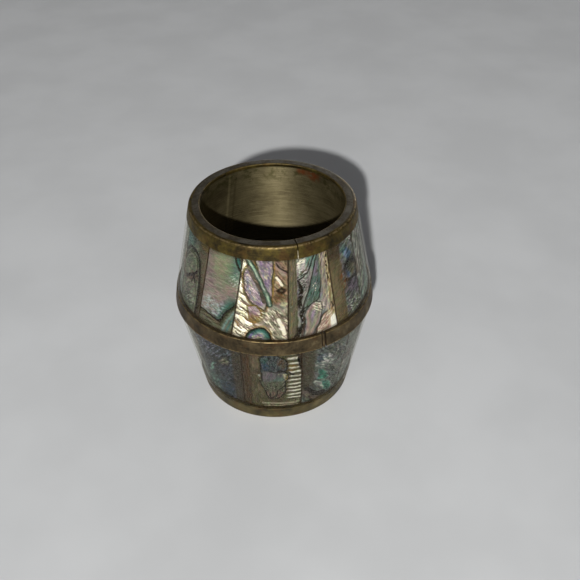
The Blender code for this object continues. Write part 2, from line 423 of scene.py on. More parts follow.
def liner_brass(name, seed):
    """Brass sheet brushed round the cup, dulled and stained, with rust-brown marks near the mouth."""
    g = Graph(name)
    place = g.vector("ADD", g.position(), (seed * 13.0, 0, 0))
    strip = g.uv("strip")
    fine = g.noise(g.vector("MULTIPLY", strip, (0.1, 6.5, 1)), 1.0, 4, 0.7)
    coarse = g.noise(g.vector("MULTIPLY", strip, (0.035, 0.9, 1)), 1.0, 3, 0.6)
    stain = g.noise(place, 0.09, 4, 0.65)
    stains = [(0.3, srgb(76, 67, 44)), (0.5, srgb(100, 91, 63)), (0.7, srgb(116, 106, 78))]
    colour = g.ramp(stain, stains)
    colour = g.mix(g.fade(fine, 0.5, 0.7, 0, 0.65), colour, srgb(158, 145, 110))
    colour = g.mix(g.fade(fine, 0.47, 0.3, 0, 0.6), colour, srgb(60, 51, 33))
    colour = g.mix(g.fade(coarse, 0.5, 0.32, 0, 0.35), colour, srgb(70, 60, 38))
    level = g.split(g.position())[2]
    near_mouth = g.fade(level, HEIGHT / MM - 12, HEIGHT / MM - 3)
    mottled = g.math("MULTIPLY", near_mouth, g.fade(g.noise(place, 0.35, 4, 0.7), 0.45, 0.62))
    colour = g.mix(g.math("MULTIPLY", mottled, 0.8), colour, srgb(64, 60, 28))
    for spot, size in RUST_SPOTS:
        near = g.fade(g.vector("DISTANCE", g.position(), spot), size, size * 0.2)
        near = g.math("MULTIPLY", near, g.fade(g.noise(place, 0.7, 3), 0.34, 0.5))
        colour = g.mix(g.math("MULTIPLY", near, 0.8), colour, srgb(120, 60, 24))
    height = g.math("ADD", g.math("MULTIPLY", fine, 0.7), g.math("MULTIPLY", coarse, 0.3))
    normal = g.bump(height, 0.1 * MM, 0.55)
    tangent = g.node("ShaderNodeTangent", direction_type="RADIAL", axis="Z").outputs[0]
    return g.finish(
        Base_Color=colour,
        Metallic=0.78,
        Roughness=0.64,
        Anisotropic=0.8,
        Anisotropic_Rotation=0.25,
        Tangent=tangent,
        Normal=normal,
    )


def plate_brass():
    """Dull tarnished sheet with random scratches and dark spots."""
    g = Graph("plate_brass")
    place = g.position()
    stain = g.noise(place, 0.08, 5, 0.6)
    stains = [(0.3, srgb(82, 64, 38)), (0.5, srgb(128, 104, 62)), (0.72, srgb(156, 134, 88))]
    colour = g.ramp(stain, stains)
    scratch = 0.0
    for angle, shift in ((18, 0), (71, 40), (128, 90)):
        lines = g.noise(g.moved(place, (shift, 0), angle, (22, 0.25)), 1.0, 2, 0.6)
        scratch = g.math("MAXIMUM", scratch, g.fade(lines, 0.66, 0.78))
    colour = g.mix(g.math("MULTIPLY", scratch, 0.5), colour, srgb(190, 166, 112))
    spots = g.fade(g.cells(place, 0.35), 0.16, 0.05)
    colour = g.mix(g.math("MULTIPLY", spots, 0.6), colour, srgb(48, 38, 26))
    normal = g.bump(g.math("SUBTRACT", scratch, spots), 0.04 * MM, 0.6)
    roughness = g.fade(stain, 0.3, 0.7, 0.55, 0.4)
    return g.finish(Base_Color=colour, Metallic=0.9, Roughness=roughness, Normal=normal)


# ---------------------------------------------------------------- resin materials


def bedding_resin():
    """The dark filled resin that the panels are set in."""
    g = Graph("bedding_resin")
    place = g.position()
    grain = g.noise(place, 1.4, 4, 0.7)
    stops = [(0.35, srgb(20, 15, 10)), (0.55, srgb(46, 34, 22)), (0.7, srgb(88, 68, 40))]
    return g.finish(Base_Color=g.ramp(grain, stops), Roughness=0.7, Normal=g.bump(grain, 0.1 * MM, 0.8))


def joint_resin():
    """Old resin that has set in a band's joint: cloudy and cream, with grey dirt."""
    g = Graph("joint_resin")
    grain = g.noise(g.position(), 2.2, 3, 0.6)
    stops = [(0.35, srgb(92, 82, 62)), (0.5, srgb(156, 146, 120)), (0.65, srgb(190, 180, 152))]
    normal = g.bump(grain, 0.2 * MM, 0.6)
    return g.finish(Base_Color=g.ramp(grain, stops), Roughness=0.35, Normal=normal)


def clear_resin():
    """Clear polished resin: it shows what is behind it and only adds its gloss."""
    g = Graph("clear_resin")
    place = g.position()
    clear = g.node("ShaderNodeBsdfTransparent", {"Color": srgb(254, 254, 252)}).outputs[0]
    waves = g.noise(place, 0.12, 2)
    ridges = g.noise(g.vector("MULTIPLY", g.uv("strip"), (0.35, 0.012, 1)), 1.0, 1)
    hairline = 0.0
    for angle, shift in ((24, 0), (-38, 50)):
        lines = g.noise(g.moved(place, (shift, 0), angle, (14, 0.4)), 1.0, 2, 0.6)
        hairline = g.math("MAXIMUM", hairline, g.fade(lines, 0.68, 0.76))
    normal = g.bump(waves, 0.6 * MM, 0.5, g.bump(hairline, 0.01 * MM, 0.5))
    normal = g.bump(ridges, 0.3 * MM, 0.6, normal)
    roughness = g.fade(g.noise(place, 0.3, 3), 0.4, 0.7, 0.06, 0.16)
    inputs = {"Color": srgb(214, 212, 204), "Roughness": roughness, "Normal": normal}
    gloss = g.node("ShaderNodeBsdfGlossy", inputs).outputs[0]
    facing = g.node("ShaderNodeFresnel", {"IOR": 1.12, "Normal": normal}).outputs[0]
    front = g.math("SUBTRACT", 1.0, g.node("ShaderNodeNewGeometry").outputs["Backfacing"])
    share = g.math("MULTIPLY", facing, front)
    mixed = g.node("ShaderNodeMixShader", {0: share, 1: clear, 2: gloss}).outputs[0]
    g.tree.nodes.remove(g.shader)
    g.feed(g.output.inputs["Surface"], mixed)
    return g.material


# ---------------------------------------------------------------- shell materials

# sRGB values from 0 to 255.
SAGE = (98, 104, 88)
PALE_SAGE = (128, 132, 112)
TEAL = (64, 104, 98)
PALE_TEAL = (114, 142, 134)
DEEP_TEAL = (40, 70, 64)
INK = (34, 29, 22)
UMBER = (56, 44, 32)
OLIVE = (84, 78, 52)
MOSS = (62, 62, 44)
BLUSH = (124, 113, 110)
PEARL = (150, 144, 134)
# WHITE_GOLD is the colour of painted highlights and glints.
WHITE_GOLD = (244, 236, 213)
CREAM = (206, 196, 162)
SILVER = (192, 197, 190)
LILAC = (138, 122, 148)
VIOLET = (104, 88, 134)
GOLD = (134, 110, 58)
AMBER = (96, 68, 36)
TAN = (112, 102, 80)
ROSE = (150, 128, 122)
BLUE = (62, 87, 117)
SLATE = (72, 78, 84)
MIST = (112, 118, 118)


class Shell(Graph):
    """One shell panel's pattern, painted in layers.

    Places, amounts and limits are percentages: places of the panel's width and height. Sizes are
    millimetres, and angles are degrees anticlockwise from straight across. mirror and nudge let one
    design serve for several panels, and seed changes all its irregularities.
    """

    def __init__(self, name, width, height, seed, mirror, nudge, tone):
        super().__init__(name)
        self.width, self.height, self.tone = width, height, tone
        unit = self.split(self.uv("unit"))
        self.y = unit[1]
        self.x = unit[0] if mirror > 0 else self.math("SUBTRACT", 1.0, unit[0])
        middle = (0.5 - nudge[0] / width, 0.5 - nudge[1] / height, 0)
        centred = self.vector("SUBTRACT", self.join(self.x, self.y), middle)
        flat = self.vector("MULTIPLY", centred, (width, height, 1))
        self.seeded = self.vector("ADD", flat, (seed * 37.1, seed * 11.7, seed * 5.3))
        half = (0.5, 0.5, 0.5)
        sway = self.vector("SUBTRACT", self.noise(self.seeded, 0.25, 2, colour=True), half)
        fray = self.vector("SUBTRACT", self.noise(self.seeded, 1.1, 3, 0.6, colour=True), half)
        bent = []
        for wide, fine in ((3.4, 0.7), (1.4, 0.35)):
            shift = self.vector("ADD", self.scaled(sway, wide), self.scaled(fray, fine))
            bent.append(self.vector("ADD", flat, shift))
        self.loose, self.crisp = bent
        self.colour = srgb(*SAGE)
        self.relief = 0.5
        self.calm = 0.0

    def place(self, across, up):
        return Vector(((across / 100 - 0.5) * self.width, (up / 100 - 0.5) * self.height))

    def clouds(self, colours, size, angle):
        """The ground: colours that run into each other, drawn out along an angle."""
        at = self.moved(self.vector("ADD", self.loose, self.seeded), (0, 0), angle, (2, 1))
        shade = self.noise(at, 1 / size, 3, 0.6, 0.5)
        self.colour = self.bands(shade, colours, 0.34, 0.66)

    def bands(self, factor, colours, start=0.0, end=1.0):
        """A colour ramp whose stops are evenly spaced."""
        step = (end - start) / (len(colours) - 1)
        return self.ramp(factor, [(start + step * i, srgb(*c)) for i, c in enumerate(colours)])

    def both(self, *masks):
        made = masks[0]
        for mask in masks[1:]:
            made = self.math("MULTIPLY", made, mask)
        return made

    def paint(self, colour, amount, *masks):
        """Lays a colour where all the masks are."""
        share = self.both(*masks)
        if amount != 100:
            share = self.math("MULTIPLY", share, amount / 100)
        self.colour = self.mix(share, self.colour, srgb(*colour))

    def window(self, colour, mask):
        """Clear resin with no shell in it: the tan bed shows, and has hardly any grain."""
        self.paint(colour, 95, mask)
        self.calm = self.math("MAXIMUM", self.calm, mask)

    def raise_by(self, amount, mask):
        self.relief = self.math("ADD", self.relief, self.math("MULTIPLY", mask, amount))

    def spot(self, across, up, wide, tall, angle=0.0, soft=50):
        """A soft-edged oval."""
        at = self.moved(self.loose, self.place(across, up), angle, (wide / 2, tall / 2))
        return self.fade(self.vector("LENGTH", at), 1 + soft / 100, 1 - soft / 100)

    def patch(self, corners, rounding=1.2, loose=False):
        """Distance outside a convex shape with these corners. It is below 0 inside the shape."""
        spots = [self.place(*corner) for corner in corners]
        edges = list(zip(spots, spots[1:] + spots[:1]))
        side = 1 if sum(a.cross(b) for a, b in edges) > 0 else -1
        field = None
        for a, b in edges:
            along = (b - a).normalized() * side
            out = Vector((along.y, -along.x))
            reach = self.vector("DOT_PRODUCT", self.loose if loose else self.crisp, (*out, 0))
            gap = self.math("SUBTRACT", reach, out.dot(a))
            if field is None:
                field = gap
            else:
                inputs = {0: field, 1: gap, 2: rounding}
                field = self.node("ShaderNodeMath", inputs, operation="SMOOTH_MAX").outputs[0]
        return field

    def within(self, field, soft=0.3):
        return self.fade(field, soft / 2, -soft / 2)

    def patch_fill(self, corners):
        return self.within(self.patch(corners, 0.8), 0.8)

    def drawn(self, off, width):
        """A line of this width where a distance is 0."""
        return self.fade(off, width * 0.7, width * 0.35)

    def contour(self, field, at, width):
        """A line where a field has this value."""
        return self.drawn(self.math("ABSOLUTE", self.math("SUBTRACT", field, at)), width)

    def line(self, points, width, loose=False):
        """A line that follows these points."""
        nearest = None
        for start, end in zip(points, points[1:]):
            a, way = self.place(*start), self.place(*end) - self.place(*start)
            from_a = self.vector("SUBTRACT", self.loose if loose else self.crisp, (*a, 0))
            share = self.vector("DOT_PRODUCT", from_a, (*(way / way.length_squared), 0))
            share = self.math("ADD", share, 0.0, clamp=True)
            off = self.vector("LENGTH", self.vector("SUBTRACT", from_a, self.scaled((*way, 0), share)))
            nearest = off if nearest is None else self.math("MINIMUM", nearest, off)
        return self.drawn(nearest, width)

    def mark(self, colour, amount, width, *points, loose=False):
        """Paints a line that follows these points."""
        self.paint(colour, amount, self.line(points, width, loose))

    def agate(self, field, start, end, colours, *masks):
        """Bands of colour that follow a field's contours from one value to another."""
        inputs = {"Value": field, "From Min": start, "From Max": end}
        share = self.node("ShaderNodeMapRange", inputs).outputs[0]
        self.colour = self.mix(self.both(*masks), self.colour, self.bands(share, colours))

    def streaks(self, angle, spacing, length=8, low=50, high=65, detail=2):
        """Fine marks along an angle, about this far apart."""
        at = self.moved(self.vector("ADD", self.crisp, self.seeded), (0, 0), angle, (length, spacing))
        return self.fade(self.noise(at, 1.0, detail, 0.55), low / 100, high / 100)

    def ripples(self, spacing, angle, spread_out):
        """Soft ridges along an angle, a little uneven. spread_out makes them wider apart higher up."""
        y = self.split(self.moved(self.crisp, (0, 0), angle))[1]
        y = self.math("SUBTRACT", y, self.math("MULTIPLY", self.math("MULTIPLY", y, y), spread_out))
        wave = self.math("SINE", self.math("MULTIPLY", y, TURN / spacing))
        uneven = self.fade(self.noise(self.seeded, 0.5, 2), 0.36, 0.56, 0.6, 1.0)
        return self.both(self.fade(wave, -0.45, 0.95), uneven)

    def fade_along(self, share, start, end, scale, fray):
        frayed = self.math("ADD", share, self.math("MULTIPLY", self.noise(self.seeded, scale, 3), fray))
        return self.fade(frayed, start / 100 + fray / 2, end / 100 + fray / 2)

    def across(self, start, end):
        """Fades in over the width, from one place to another."""
        return self.fade_along(self.x, start, end, 0.5, 0.05)

    def up(self, start, end):
        """Fades in over the height."""
        return self.fade_along(self.y, start, end, 0.4, 0.08)

    def edge(self, share, length, start, end):
        """Fades in towards both ends of the width or the height, over these distances from them."""
        inset = self.math("MINIMUM", share, self.math("SUBTRACT", 1.0, share))
        return self.fade(self.math("MULTIPLY", inset, length), start, end)

    def overlay(self, share, colour):
        self.colour = self.mix(share, self.colour, colour, "OVERLAY")

    def polished(self, grain_angle, folds=0.5, gleam=0.35):
        """The finish of every panel: growth lines, folds, colour play, flecks, darker edges, and
        painted shade that darkens it all by the row's tone.
        """
        dark, light = srgb(96, 94, 92), srgb(238, 236, 230)
        tints = [(0.38, srgb(206, 180, 204)), (0.5, srgb(190, 188, 182)), (0.62, srgb(168, 200, 186))]
        lively = self.math("SUBTRACT", 1.0, self.math("MULTIPLY", self.calm, 0.75))
        play = self.moved(self.vector("ADD", self.loose, self.seeded), (3, 8), grain_angle, (4, 1.6))
        self.overlay(0.4, self.ramp(self.noise(play, 0.8, 2), tints))
        fold = self.streaks(grain_angle, 1.7, 5, 36, 64, 1)
        self.overlay(self.math("MULTIPLY", lively, folds), self.mix(fold, dark, light))
        grain = self.streaks(grain_angle, 0.42, 5, 34, 66, 3)
        self.overlay(self.math("MULTIPLY", lively, 0.24), self.mix(grain, dark, light))
        # painted shade: the whole colour is darkened by the row's tone
        self.colour = self.mix(1.0, self.colour, (self.tone, self.tone, self.tone, 1.0), "MULTIPLY")
        fleck = self.noise(self.seeded, 2.6, 2, 0.7)
        self.paint(SILVER, 50, self.fade(fleck, 0.66, 0.78))
        self.paint(INK, 40, self.fade(fleck, 0.34, 0.22))
        # darker along the sides, and towards the top and bottom edges
        self.paint(UMBER, 85, self.edge(self.x, self.width, 0.3, 0.02))
        self.paint(UMBER, 60, self.edge(self.y, self.height, 1.3, 0.3))
        height = self.math("ADD", self.relief, self.math("MULTIPLY", grain, 0.15))
        height = self.math("ADD", height, self.math("MULTIPLY", fold, 0.2))
        return self.finish(
            Base_Color=self.colour,
            Metallic=gleam,
            Roughness=self.fade(grain, 0.0, 1.0, 0.38, 0.26),
            Specular_IOR_Level=0.15,
            Normal=self.bump(height, 0.35 * MM, 0.8),
        )


def eye_panel(p):
    """Grey-green shell with a tall arched eye, a dark crack in it and a clear brown right side."""
    p.clouds([(82, 92, 84), SAGE, PALE_SAGE, SAGE, (96, 96, 94)], 8, 28)
    p.paint((54, 98, 94), 95, p.up(62, 88), p.across(60, 15))
    p.paint(PALE_TEAL, 70, p.up(70, 90), p.across(40, 10), p.streaks(15, 1.8))
    p.paint(BLUSH, 60, p.streaks(30, 1.6, 6), p.up(62, 50), p.up(20, 30))
    arch = p.patch([(-15, 52), (12, 74), (42, 84), (74, 78), (86, 58), (84, -20), (-15, -20)], 4)
    rings = [PALE_SAGE, SAGE, (84, 92, 76), SAGE, PALE_SAGE, MOSS, SAGE, INK]
    p.agate(arch, -4.6, 0.1, rings, p.within(arch, 0.2), p.fade(arch, -4.4, -3.2), p.up(40, 55))
    side = p.both(p.fade(arch, -0.1, 0.2), p.across(60, 75))
    p.window((78, 72, 57), side)
    p.paint((104, 92, 76), 80, side, p.spot(97, 66, 4, 12))
    p.paint(UMBER, 85, side, p.spot(88, 25, 3.2, 12))
    p.paint(GOLD, 55, p.spot(90, 97, 5, 3))
    p.paint(UMBER, 70, p.up(86, 99), p.across(0, 40))
    p.paint(INK, 95, p.contour(arch, 0, 1.1))
    p.paint(MOSS, 60, p.contour(arch, -1.6, 0.6))
    p.paint((72, 48, 40), 95, p.spot(56, 47, 5.4, 3.6, 20))
    p.mark((98, 78, 68), 70, 2.2, (10, 36), (34, 40), (50, 44), loose=True)
    p.mark((36, 22, 20), 100, 1.1, (20, 37), (42, 45), (58, 50), (70, 57))
    p.mark((36, 22, 20), 100, 0.9, (53, 39), (62, 50), (68, 41))
    p.paint(SILVER, 80, p.spot(56, 17, 6, 5), p.streaks(40, 0.9, 3, 48, 62))
    p.paint(INK, 85, p.spot(34, 14, 8, 7), p.streaks(35, 1.6, 4, 46, 58))
    p.paint(BLUSH, 70, p.spot(20, 24, 9, 5, 10), p.streaks(20, 1.6, 5, 44, 60))
    return p.polished(28, 0.32)


def lobe_panel(p):
    """Blush to yellow-green to teal across, with a dark lobed growth line round the lower right."""
    p.clouds([(116, 102, 98), BLUSH, (134, 122, 112)], 8, 5)
    p.paint((124, 127, 104), 85, p.across(15, 45), p.up(40, 70))
    p.paint((106, 119, 98), 90, p.across(45, 70), p.up(45, 75))
    p.paint((76, 106, 98), 70, p.across(66, 90), p.up(60, 80))
    p.paint((144, 143, 116), 60, p.spot(42, 86, 8, 9))
    p.paint(ROSE, 60, p.spot(86, 58, 5.5, 4, 20))
    # painted highlight: silver glints
    p.paint(SILVER, 80, p.spot(90, 70, 4, 4), p.streaks(30, 0.7, 2.5, 50, 62))
    waves = p.both(p.streaks(-4, 1, 6, 46, 60), p.up(74, 55))
    p.paint((160, 148, 140), 75, waves, p.across(80, 50))
    corner = p.patch([(72, 110), (84, 93), (100, 82), (130, 80), (130, 110)], 1.5)
    p.agate(corner, -2, 0.6, [MOSS, DEEP_TEAL, TEAL, INK, PALE_TEAL], p.within(corner, 0.8))
    p.paint(INK, 85, p.contour(corner, -0.2, 0.8))
    low = p.patch([(-20, 17), (30, 16), (68, 11), (90, -20), (-20, -20)], 1.5)
    side = p.patch([(56, -30), (62, 10), (80, 30), (102, 42), (140, 50), (140, -30)], 1.6)
    shore = p.node("ShaderNodeMath", {0: low, 1: side, 2: 2.5}, operation="SMOOTH_MIN").outputs[0]
    p.paint(TEAL, 90, p.fade(shore, 4.5, 1), p.across(40, 62), p.up(55, 35))
    p.paint(DEEP_TEAL, 70, p.fade(shore, 2.2, 0.4), p.across(20, 60))
    # painted highlight: bluish-white glints among the streaks
    bluish_glint = p.both(p.spot(34, 27, 10, 7), p.streaks(-10, 0.8, 2.2, 46, 58))
    p.paint((178, 188, 190), 90, bluish_glint)
    p.paint(SLATE, 40, p.spot(30, 27, 10, 6), p.streaks(-14, 1, 3, 50, 62))
    beyond = [INK, MOSS, SAGE, PALE_TEAL, SAGE, TEAL, SAGE, MOSS, OLIVE]
    p.agate(shore, 0, -5.5, beyond, p.within(shore, 0.3))
    p.paint((104, 98, 78), 80, p.within(low, 0.5), p.across(80, 60))
    p.paint(UMBER, 70, p.within(low, 0.5), p.streaks(6, 1.3, 9, 50, 60))
    p.paint(INK, 95, p.contour(shore, 0.05, 0.6))
    p.paint(MOSS, 50, p.contour(shore, 0.75, 0.5), p.across(0, 30))
    p.paint(OLIVE, 60, p.up(90, 100), p.across(60, 20))
    return p.polished(-5, 0.15)


def flame_panel(p):
    """The brightest: white-gold bars of painted highlight, a lilac field crossed by a green flame,
    painted glints, and a teal half-moon.
    """
    p.clouds([(116, 102, 86), (142, 126, 118), (140, 136, 126), (156, 144, 122)], 6, -38)
    flow = p.streaks(-38, 0.8, 5, 50, 60)
    left = p.math("MAXIMUM", p.across(22, 4), p.both(p.up(66, 50), p.across(62, 20)))
    p.paint((96, 80, 62), 70, left, p.streaks(-34, 1.2, 5, 50, 62))
    p.paint(GOLD, 80, left, p.streaks(-36, 1, 5, 54, 64))
    # painted highlight: the white-gold bars stand for glare on growth lines, which are also raised
    bars = p.both(left, p.streaks(-32, 1.2, 6, 50, 57))
    for up, reach, end, width in (
        (95, 10, 85, 1.6), (74, 13, 64, 0.9), (65, 20, 55, 1.1), (56, 30, 46, 1.2),
        (46, 30, 37, 1.1), (37, 27, 28, 0.7), (28, 33, 19, 1.2), (17, 20, 8, 0.8),
    ):
        bars = p.math("MAXIMUM", bars, p.line([(-5, up), (reach, end)], width))
    p.paint(WHITE_GOLD, 100, bars)
    p.raise_by(0.9, bars)
    first = p.patch([(18, 97), (5, 84), (10, 62), (28, 47), (55, 38), (60, 50), (38, 78)], 1)
    second = p.patch([(24, 105), (66, 105), (70, 80), (66, 50), (60, 52), (42, 78)], 1)
    field = p.math("MINIMUM", first, second)
    lilac = p.within(field, 0.25)
    lilacs = [(150, 142, 143), (154, 145, 149), (124, 113, 136), (152, 142, 143), ROSE]
    p.agate(field, -2.6, 0, lilacs, lilac)
    p.paint(CREAM, 55, lilac, p.streaks(-44, 1.3, 4, 54, 66))
    p.paint((102, 88, 116), 50, lilac, p.streaks(-52, 2.2, 3, 50, 62))
    p.paint((108, 88, 42), 90, p.contour(field, 0.45, 0.7))
    p.paint(MOSS, 90, p.contour(field, 0.05, 0.45))
    flame = [(10, 100), (27, 88), (43, 74), (56, 60), (65, 46)]
    p.mark((72, 66, 44), 85, 1.3, (12, 90), (27, 78), (42, 65), (54, 50))
    greens = [INK, (66, 84, 72), (108, 128, 114), (158, 174, 156)]
    for colour, width in zip(greens, (1.9, 1.5, 0.9, 0.45)):
        p.mark(colour, 95, width, *flame)
    right = p.both(p.across(69, 73), p.up(44, 52))
    p.paint((142, 121, 98), 95, right)
    p.paint(UMBER, 70, right, p.streaks(-46, 1.4, 5, 50, 60))
    p.paint((176, 150, 122), 80, right, p.streaks(-42, 0.9, 4, 54, 62))
    p.mark(ROSE, 90, 1.6, (76, 95), (92, 84))
    p.mark(INK, 90, 0.55, (69, 100), (82, 91), (100, 84))
    p.mark(GOLD, 80, 0.5, (71, 98), (72, 80), (69, 56))
    # painted highlight: a white-gold glint
    p.mark(WHITE_GOLD, 100, 0.8, (77, 79), (88, 69))
    knot = p.patch([(72, 63), (86, 69), (100, 63), (88, 56.5)], 0.3)
    p.agate(knot, -1.3, 0.3, [(120, 100, 78), UMBER, INK, (96, 76, 54), INK], p.within(knot, 0.5))
    p.paint(AMBER, 70, p.spot(84, 54, 4.4, 3.4))
    p.paint(CREAM, 90, p.line([(92, 46), (100, 42)], 1.4), flow)
    swirl = p.patch([(22, 42), (40, 44), (50, 34), (40, 22), (28, 28)], 0.8)
    p.paint((150, 128, 140), 85, p.within(swirl, 0.3))
    p.paint((108, 88, 42), 85, p.contour(swirl, 0.1, 0.6))
    p.paint((128, 98, 42), 80, p.spot(42, 28, 4.2, 3.2, -30))
    # painted highlight: white-gold streaks
    p.paint(WHITE_GOLD, 90, p.streaks(-28, 0.9, 3, 54, 60), p.spot(56, 32, 5, 3))
    # painted highlight: a lighter patch with white-gold glints
    glint_patch = p.both(p.up(42, 34), p.across(50, 62))
    p.paint((150, 142, 124), 60, glint_patch)
    p.paint(MOSS, 75, glint_patch, p.streaks(-56, 1, 6, 50, 60))
    p.paint(WHITE_GOLD, 95, glint_patch, p.streaks(-50, 1.2, 6, 54, 60))
    # painted highlight: a white-gold glint
    p.mark(WHITE_GOLD, 100, 1.1, (83, 26), (90, 16), (95, 7))
    moon = p.patch([(24, -10), (27, 7), (40, 15), (55, 16.5), (68, 10), (73, -10)], 1.6)
    rings = [PALE_SAGE, SAGE, LILAC, PALE_TEAL, TEAL, DEEP_TEAL, INK]
    p.agate(moon, -3.6, 0.2, rings, p.within(moon, 0.3))
    p.paint(VIOLET, 80, p.fade(moon, -0.5, -0.9), p.fade(moon, -2.2, -1.4), p.across(42, 34))
    p.paint(CREAM, 75, p.fade(moon, -1.4, -1.8), p.streaks(8, 0.6, 2, 52, 60))
    p.paint(INK, 70, p.fade(moon, -1.6, -2), p.streaks(20, 0.8, 2, 56, 62))
    p.paint(INK, 100, p.contour(moon, 0, 0.5))
    p.paint(GOLD, 60, p.contour(moon, 0.5, 0.5))
    return p.polished(-38, 0.35, 0.42)


def leaf_panel(p):
    """A clear tan strip, a ragged dark crack, painted silver and white-gold highlights, a grey-green
    leaf and a painted highlight in one corner.
    """
    p.clouds([(112, 109, 110), (138, 130, 128), (142, 144, 138), (128, 122, 138)], 6, 66)
    p.paint(PALE_TEAL, 95, p.spot(50, 94, 6, 5, -20))
    p.paint(TEAL, 80, p.spot(52, 90, 5, 4), p.streaks(35, 1, 4))
    # painted highlights: white-gold and silver glints
    p.paint(WHITE_GOLD, 100, p.spot(27, 93, 4.4, 5), p.streaks(20, 1, 3, 40, 54))
    p.paint(SILVER, 100, p.spot(32, 80, 4.4, 6), p.streaks(30, 0.7, 2, 42, 52))
    p.paint(INK, 95, p.spot(30, 70, 5, 9), p.streaks(24, 0.8, 1.6, 48, 54))
    leaf = p.patch([(29, 36), (70, 100), (84, 110), (79, 84), (74, 60), (68, 46), (50, 39)], 0.6)
    inner = p.within(leaf, 0.3)
    p.paint((84, 98, 86), 100, inner)
    p.paint(TEAL, 50, inner, p.up(42, 52), p.up(80, 68))
    p.paint(LILAC, 70, inner, p.spot(60, 82, 3, 5))
    p.paint(MIST, 80, inner, p.streaks(62, 0.9, 4, 50, 60))
    p.paint(MOSS, 80, inner, p.streaks(66, 0.8, 3, 56, 64))
    # painted highlight: a white-gold glint
    p.paint(WHITE_GOLD, 100, p.spot(58, 59, 2.2, 2.6), p.fade(p.noise(p.seeded, 1.7, 2), 0.56, 0.62))
    p.paint(INK, 85, p.contour(leaf, 0, 0.5))
    p.mark(INK, 90, 0.6, (20, 72), (44, 80), (56, 90), (64, 102))
    p.mark(OLIVE, 80, 0.5, (24, 79), (42, 84), (52, 94))
    reeds = p.both(p.across(72, 78), p.up(35, 50))
    p.paint((140, 130, 124), 70, reeds)
    p.paint(UMBER, 75, reeds, p.streaks(84, 0.7, 12, 54, 62))
    p.paint(CREAM, 80, reeds, p.streaks(87, 0.6, 10, 54, 60))
    petal = p.patch([(34, 34), (56, 42), (72, 38), (66, 20), (50, 2), (28, -10)], 1.2)
    p.agate(petal, -3.4, 0, [(134, 118, 144), LILAC, PALE_SAGE, ROSE, MIST], p.within(petal, 0.3))
    # painted highlight: a white-gold glint
    p.paint(WHITE_GOLD, 100, p.spot(63, 33, 4, 4), p.streaks(-36, 0.7, 3, 50, 58))
    p.paint(INK, 75, p.contour(petal, 0.05, 0.45))
    hem = p.patch([(42, -10), (56, 7), (68, 22), (120, 30), (120, -10)], 1)
    p.paint((172, 146, 134), 95, p.within(hem, 0.3))
    # painted highlight: white-gold streaks
    p.paint(WHITE_GOLD, 85, p.within(hem), p.streaks(34, 1.2, 5, 50, 58))
    p.paint((132, 100, 74), 75, p.within(hem), p.streaks(38, 1, 4, 54, 62))
    p.paint(UMBER, 90, p.contour(hem, 0, 0.55), p.up(30, 22))
    gilt = p.both(p.across(78, 84), p.up(58, 50))
    p.paint(CREAM, 90, gilt, p.streaks(76, 0.9, 5, 46, 58))
    p.paint(GOLD, 70, p.across(88, 92), p.up(14, 20))
    p.paint(CREAM, 90, p.across(86, 90), p.streaks(86, 0.8, 4, 50, 58))
    holes = [(90, 2.2, 0.8), (82, 0.8, 0.5), (67, 2.4, 0.7), (42, 1, 0.5), (30, 1.6, 0.6)]
    for up, tall, wide in holes:
        hole = p.line([(93, up + tall / 0.6), (94.5, up - tall / 0.6)], wide, loose=True)
        p.paint(INK, 95, hole)
        p.raise_by(-0.8, hole)
    # painted highlight: near-white glare in the lower right corner
    corner_glare = p.patch([(98, 17), (102, -2), (84, -2), (88, 14)], 0.5)
    p.paint((255, 252, 240), 100, p.within(corner_glare, 0.4))
    strip = p.across(20, 17)
    p.window((88, 83, 64), strip)
    p.paint((110, 103, 82), 70, strip, p.streaks(90, 0.9, 20, 46, 60))
    p.paint(MOSS, 70, strip, p.streaks(90, 0.7, 24, 54, 62))
    p.mark((122, 106, 72), 70, 0.35, (5.5, -10), (6, 110))
    crack = p.line([(23, 68), (25, 50), (24, 40), (28, 30), (22, 12), (16, -2)], 1.7, loose=True)
    p.paint(INK, 100, crack, p.fade(p.noise(p.seeded, 0.9, 3), 0.34, 0.42))
    p.mark(UMBER, 85, 0.6, (30, 24), (27, 10), (25, -2))
    p.raise_by(-0.5, crack)
    return p.polished(66, 0.3, 0.38)


